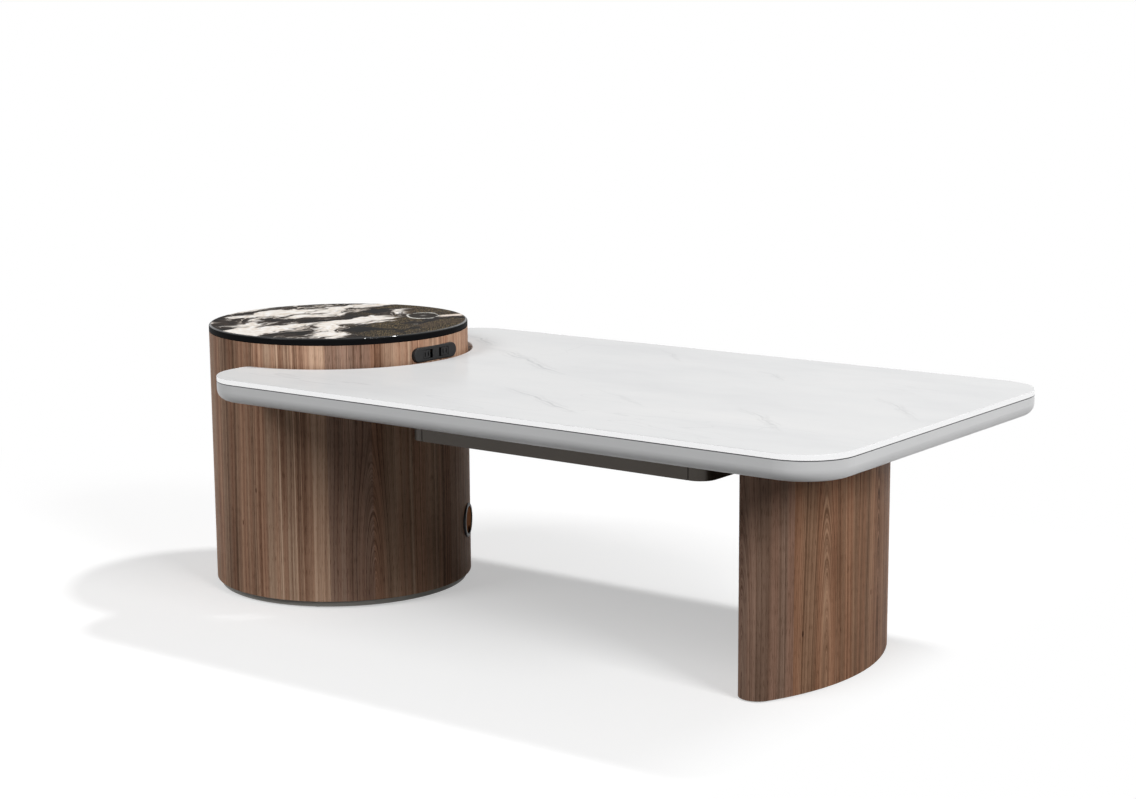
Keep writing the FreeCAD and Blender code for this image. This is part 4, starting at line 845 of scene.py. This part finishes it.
def heads(name, facing):
    """Where each fastener's head ends and which way it faces; facing is a direction or a rule."""
    found = []
    for points in loose_parts(name):
        middle = middle_of(points)
        way = facing(middle) if callable(facing) else Vector(facing)
        reaches = [(point - middle).dot(way) for point in points]
        found.append((middle + way * max(reaches), way, max(reaches) - min(reaches)))
    found.sort(key=lambda item: tuple(round(value, 5) for value in item[0]))
    return found


print("panel screws found:", len(heads("panel_screws", (0, 0, -1))))

# %% [markdown]
# The trees start and end alike: they take points, sizes and a finish by name, stand a shape on the
# points, make the copies real, because the export drops instances, and give them the finish.

# %% Start and end of a tree
def start_tree(name, *labels):
    """An empty Geometry Nodes tree with named sizes: the tree, their identifiers and its inputs."""
    tree = lay_out(bpy.data.node_groups.new(name, "GeometryNodeTree"))
    for side in ("INPUT", "OUTPUT"):
        tree.interface.new_socket(name="Geometry", in_out=side, socket_type="NodeSocketGeometry")
    names = {}
    for label in (*labels, "Finish"):
        kind = "NodeSocketMaterial" if label == "Finish" else "NodeSocketFloat"
        names[label] = tree.interface.new_socket(name=label, in_out="INPUT", socket_type=kind).identifier
    return tree, names, put("NodeGroupInput").outputs


def stand_on_points(given, shape, **inputs):
    """Stands a shape on every point and closes the tree."""
    inputs.update({"Points": given["Geometry"], "Instance": shape})
    real = made("GeometryNodeRealizeInstances",
                {"Geometry": made("GeometryNodeInstanceOnPoints", inputs)})
    done = made("GeometryNodeSetMaterial", {"Geometry": real, "Material": given["Finish"]})
    put("NodeGroupOutput", {"Geometry": done})


print("tree helpers ready")

# %% [markdown]
# The fastener's tree stacks a short cone on a disc for the head, cuts the recess out of it and
# adds a shank. A cross recess is two crossed bars, and a hexagon recess is a six-sided bar. Each
# copy is turned by an attribute on its point.

# %% Shapes for the fastener tree
def bar(corners, radius, depth):
    """An upright bar with that many sides."""
    return made("GeometryNodeMeshCylinder", {"Vertices": corners, "Radius": radius, "Depth": depth})


def shifted(shape, z):
    """A shape moved up."""
    return made("GeometryNodeTransform", {"Geometry": shape, "Translation": join(z=z)})


def combined(operation, inputs, others):
    """Joins solid shapes, or cuts them out of the one in the inputs."""
    node = put("GeometryNodeMeshBoolean", inputs, operation=operation, solver="EXACT")
    for other in others:
        link(other, node.inputs["Mesh 2"])
    return node.outputs["Mesh"]


print("shape helpers ready")

# %% Fastener tree
corner_reach = 0.577  # from a hexagon's middle to its corner, by its width across flats


def fastener_tree(name, sides):
    """Stands a headed fastener on each point; sides is 4 for a cross recess and 6 for a hexagon."""
    tree, names, given = start_tree(name, "Head Radius", "Head Height", "Shank Radius", "Shank Length",
                                    "Recess Width", "Recess Depth")
    radius = given["Head Radius"]
    height = given["Head Height"]
    width = given["Recess Width"]
    low = times(height, -1.0)
    skirt = times(height, 0.55)
    crown = minus(height, skirt)
    lower = shifted(bar(24, radius, skirt), calc("MULTIPLY_ADD", skirt, 0.5, low))
    cone = {"Vertices": 24, "Radius Bottom": radius, "Radius Top": times(radius, 0.80), "Depth": crown}
    upper = shifted(made("GeometryNodeMeshCone", cone), times(crown, -1.0))
    head = combined("UNION", {}, (lower, upper))
    deep = times(given["Recess Depth"], 2.0)
    if sides == 6:
        tools = [bar(6, times(width, corner_reach), deep)]
    else:
        slim = times(width, 0.26)
        sizes = (join(width, slim, deep), join(slim, width, deep))
        tools = [made("GeometryNodeMeshCube", {"Size": size}) for size in sizes]
    cut = combined("DIFFERENCE", {"Mesh 1": head}, tools)
    shank_length = given["Shank Length"]
    shank = shifted(bar(16, given["Shank Radius"], shank_length),
                    calc("MULTIPLY_ADD", shank_length, -0.5, low))
    whole = put("GeometryNodeJoinGeometry")
    for part in (cut, shank):
        link(part, whole.inputs[0])
    facing = put("GeometryNodeInputNamedAttribute", {"Name": "facing"}, data_type="FLOAT_VECTOR")
    turn = made("FunctionNodeAlignRotationToVector", {"Vector": facing.outputs["Attribute"]}, axis="Z")
    stand_on_points(given, whole.outputs[0], Rotation=turn)
    return tree, names


cross_screw = fastener_tree("cross_screw", 4)
hexagon_bolt = fastener_tree("hexagon_bolt", 6)
print("trees:", cross_screw[0].name, hexagon_bolt[0].name)

# %% [markdown]
# A point mesh gets the modifier, its sizes are set by each socket's identifier, and the evaluated
# result is taken as a plain mesh that rides on the body of the node it replaces.

# %% Make plain meshes from the trees
def grown(name, points, facings, tree, names, sizes):
    """A plain mesh grown by a Geometry Nodes tree on points that face given ways."""
    mesh = bpy.data.meshes.new(name + "_points")
    mesh.from_pydata(points, [], [])
    attribute = mesh.attributes.new("facing", "FLOAT_VECTOR", "POINT")
    attribute.data.foreach_set("vector", [part for way in facings for part in way])
    seedling = add_object(name + "_seedling", mesh)
    modifier = seedling.modifiers.new("grow", "NODES")
    modifier.node_group = tree
    for label, value in sizes.items():
        modifier[names[label]] = value
    bpy.context.view_layer.update()
    evaluated = seedling.evaluated_get(bpy.context.evaluated_depsgraph_get())
    plain = bpy.data.meshes.new_from_object(evaluated)
    plain.name = name
    bpy.data.objects.remove(seedling)
    return add_object(name, plain)


def seat(piece, body, node):
    """Puts a finished piece on its body, in place of a node."""
    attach(piece, body)
    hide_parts(node)
    print(piece.name, "has", len(piece.data.polygons), "faces")


def fasten(node, body, facing, tree, sizes):
    """Replaces a node of plain fasteners by detailed ones of the same size in the same places."""
    points, facings, lengths = zip(*heads(node, facing))
    sizes = {**sizes, "Shank Length": lengths[0] - sizes["Head Height"], "Finish": zinc_plate}
    seat(grown(node + "_detailed", points, facings, *tree, sizes), body, node)


def away_from_axis(middle):
    """The direction out of the cabinet at a place on its wall."""
    return Vector((middle.x - cabinet_x, middle.y, 0.0)).normalized()


print("ready to fasten")

# %% Screws and bolts
screw_sizes = {"Head Radius": 0.0040, "Head Height": 0.0022, "Shank Radius": 0.0020,
               "Recess Width": 0.0045, "Recess Depth": 0.0014}
bolt_sizes = {"Head Radius": 0.0065, "Head Height": 0.0050, "Shank Radius": 0.0040,
              "Recess Width": 0.0052, "Recess Depth": 0.0028}
fasten("panel_screws", "table", (0, 0, -1), cross_screw, screw_sizes)
fasten("case_screws", "table", (0, 0, -1), cross_screw, screw_sizes)
fasten("drawer_front_screws", "drawer", (0, 1, 0), cross_screw, screw_sizes)
fasten("bracket_bolts", "table", (0, 0, -1), hexagon_bolt, bolt_sizes)
fasten("leg_bolts", "table", (0, 0, 1), hexagon_bolt, bolt_sizes)
fasten("wall_bolts", "table", away_from_axis, hexagon_bolt, bolt_sizes)

# %% [markdown]
# ## Copper windings
# Each hob heats by a flat spiral of copper strand, and the solids only hold a plain ring in its
# place. A spiral follows a rule, so a Geometry Nodes tree draws one from the ring's two radii,
# sweeps a flattened strand along it and stands a copy on the middle of each ring.

# %% Winding tree
flat_winding, winding_names, given = start_tree("flat_winding", "Outer Radius", "Inner Radius", "Turns",
                                                "Strand Radius", "Flatten")
spiral = made("GeometryNodeCurveSpiral",
              {"Resolution": 40, "Rotations": given["Turns"], "Start Radius": given["Inner Radius"],
               "End Radius": given["Outer Radius"], "Height": 0.0})
strand = made("GeometryNodeCurvePrimitiveCircle",
              {"Resolution": 8, "Radius": given["Strand Radius"]})
swept = made("GeometryNodeCurveToMesh",
             {"Curve": spiral, "Profile Curve": strand, "Fill Caps": True})
flattened = made("GeometryNodeTransform",
                 {"Geometry": swept, "Scale": join(1.0, 1.0, given["Flatten"])})
stand_on_points(given, flattened)
print("tree:", flat_winding.name)

# %% Copper windings
rings = loose_parts("induction_coils")
ring_middles = sorted((middle_of(points) for points in rings), key=lambda middle: middle.y)
ring_reaches = [(point - middle_of(rings[0])).to_2d().length for point in rings[0]]
ring_outer = max(ring_reaches)
ring_inner = min(ring_reaches)
ring_low, ring_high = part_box("induction_coils")
ring_half = (ring_high.z - ring_low.z) / 2
strand_turns = 18
strand_radius = 0.42 * (ring_outer - ring_inner) / strand_turns
winding_sizes = {"Outer Radius": ring_outer - strand_radius, "Inner Radius": ring_inner + strand_radius,
                 "Turns": float(strand_turns), "Strand Radius": strand_radius,
                 "Flatten": 0.98 * ring_half / strand_radius, "Finish": coil_copper}
windings = grown("copper_windings", ring_middles, [(0.0, 0.0, 1.0)] * len(ring_middles), flat_winding,
                 winding_names, winding_sizes)
seat(windings, "table", "induction_coils")
print("windings from", round(ring_inner, 4), "to", round(ring_outer, 4), "m")

# %% [markdown]
# ## The floor
# The table stands on a white studio sweep. The floor reads white to the camera and to glossy
# surfaces away from the table, and near the table it carries the table's soft shadow, which fades
# out beside the leg. Its glow makes up what the light leaves short of white, so the light on the
# table stays plain. From below the floor is clear, so that the underside can be looked at.

# %% Floor
floor_reach = 14.0
corners = [(x * floor_reach, y * floor_reach, 0.0) for x, y in ((-1, -1), (1, -1), (1, 1), (-1, 1))]
floor_mesh = bpy.data.meshes.new("studio_floor")
floor_mesh.from_pydata(corners, [], [(0, 1, 2, 3)])
studio_floor = add_object("studio_floor", floor_mesh)


def seen_rays():
    """1 for what the camera, glossy surfaces and clear surfaces see, and 0 for the light itself."""
    rays = put("ShaderNodeLightPath").outputs
    clear = calc("MAXIMUM", rays["Is Glossy Ray"], rays["Is Transmission Ray"])
    return calc("MAXIMUM", rays["Is Camera Ray"], clear)


def mixed(factor, first, second):
    """Two shaders mixed by a factor."""
    return put("ShaderNodeMixShader", {0: factor, 1: first.outputs[0], 2: second.outputs[0]})


print("floor reaches", floor_reach, "m each way")

# %% Floor finish
shadow_full = 0.72
shadow_gone = 1.35
leg_side_full = 0.46
leg_side_gone = 0.66
shaded_part = 0.72
floor_paper, shader, place = new_finish("floor_paper", Roughness=0.9, Specular_IOR_Level=0.1)
shader.inputs["Base Color"].default_value = colour(0.16, 0.16, 0.16)
in_front = mapped(place, Location=(-0.05, 0.25, 0.0))
distance = place_calc("LENGTH", stretched(in_front, 0.62, 1.0, 1.0))
near_table = times(between(distance, shadow_gone, shadow_full),
                   between(split(place)[0], leg_side_gone, leg_side_full))
plain_white = put("ShaderNodeEmission", {"Strength": 1.0})
lift = put("ShaderNodeEmission", {"Strength": 1.56})
shaded = put("ShaderNodeBsdfDiffuse", {"Color": colour(0.95, 0.95, 0.95)})
floor_near = mixed(shaded_part, lift, shaded)
floor_seen = mixed(near_table, plain_white, floor_near)
floor_above = mixed(seen_rays(), shader, floor_seen)
from_below = times(put("ShaderNodeNewGeometry").outputs["Backfacing"],
                   put("ShaderNodeLightPath").outputs["Is Camera Ray"])
whole_floor = mixed(from_below, floor_above, put("ShaderNodeBsdfTransparent"))
feed(floor_paper.node_tree.nodes["Material Output"], Surface=whole_floor.outputs[0])
floor_mesh.materials.append(floor_paper)
print("floor shadow fades out at", shadow_gone, "m")

# %% [markdown]
# ## Walls and lamps
# A studio lights furniture with pale walls and a few large soft boxes. A dim white world stands for
# the walls. Three square area lamps stand where the table's soft shadows ask for them.

# %% World
ambient = 0.10
world = bpy.data.worlds.new("studio")
world.use_nodes = True
bpy.context.scene.world = world
background = lay_out(world.node_tree).nodes["Background"]
background.inputs["Color"].default_value = colour(1.0, 1.0, 1.0)
glow = calc("MULTIPLY_ADD", seen_rays(), 1.0 - ambient, ambient)
feed(background, Strength=glow)
print("ambient light", ambient)

# %% Soft boxes
def soft_box(name, place, aim, side, watts):
    """A square soft light that looks at a point."""
    data = bpy.data.lights.new(name, "AREA")
    data.shape = "RECTANGLE"
    data.size = side
    data.size_y = side
    data.energy = watts
    lamp = add_object(name, data)
    lamp.location = place
    lamp.rotation_euler = (Vector(aim) - Vector(place)).to_track_quat("-Z", "Y").to_euler()
    print(name, "gives", watts, "W")


soft_box("right_box", (8.0, -2.2, 4.6), (0.0, 0.0, 0.3), 3.2, 530.0)
soft_box("back_box", (1.6, 2.2, 6.0), (0.0, 0.0, 0.2), 0.6, 215.0)
soft_box("left_box", (-2.6, -5.5, 5.4), (-0.2, 0.0, 0.2), 3.6, 255.0)
bpy.context.scene.view_settings.view_transform = "Standard"
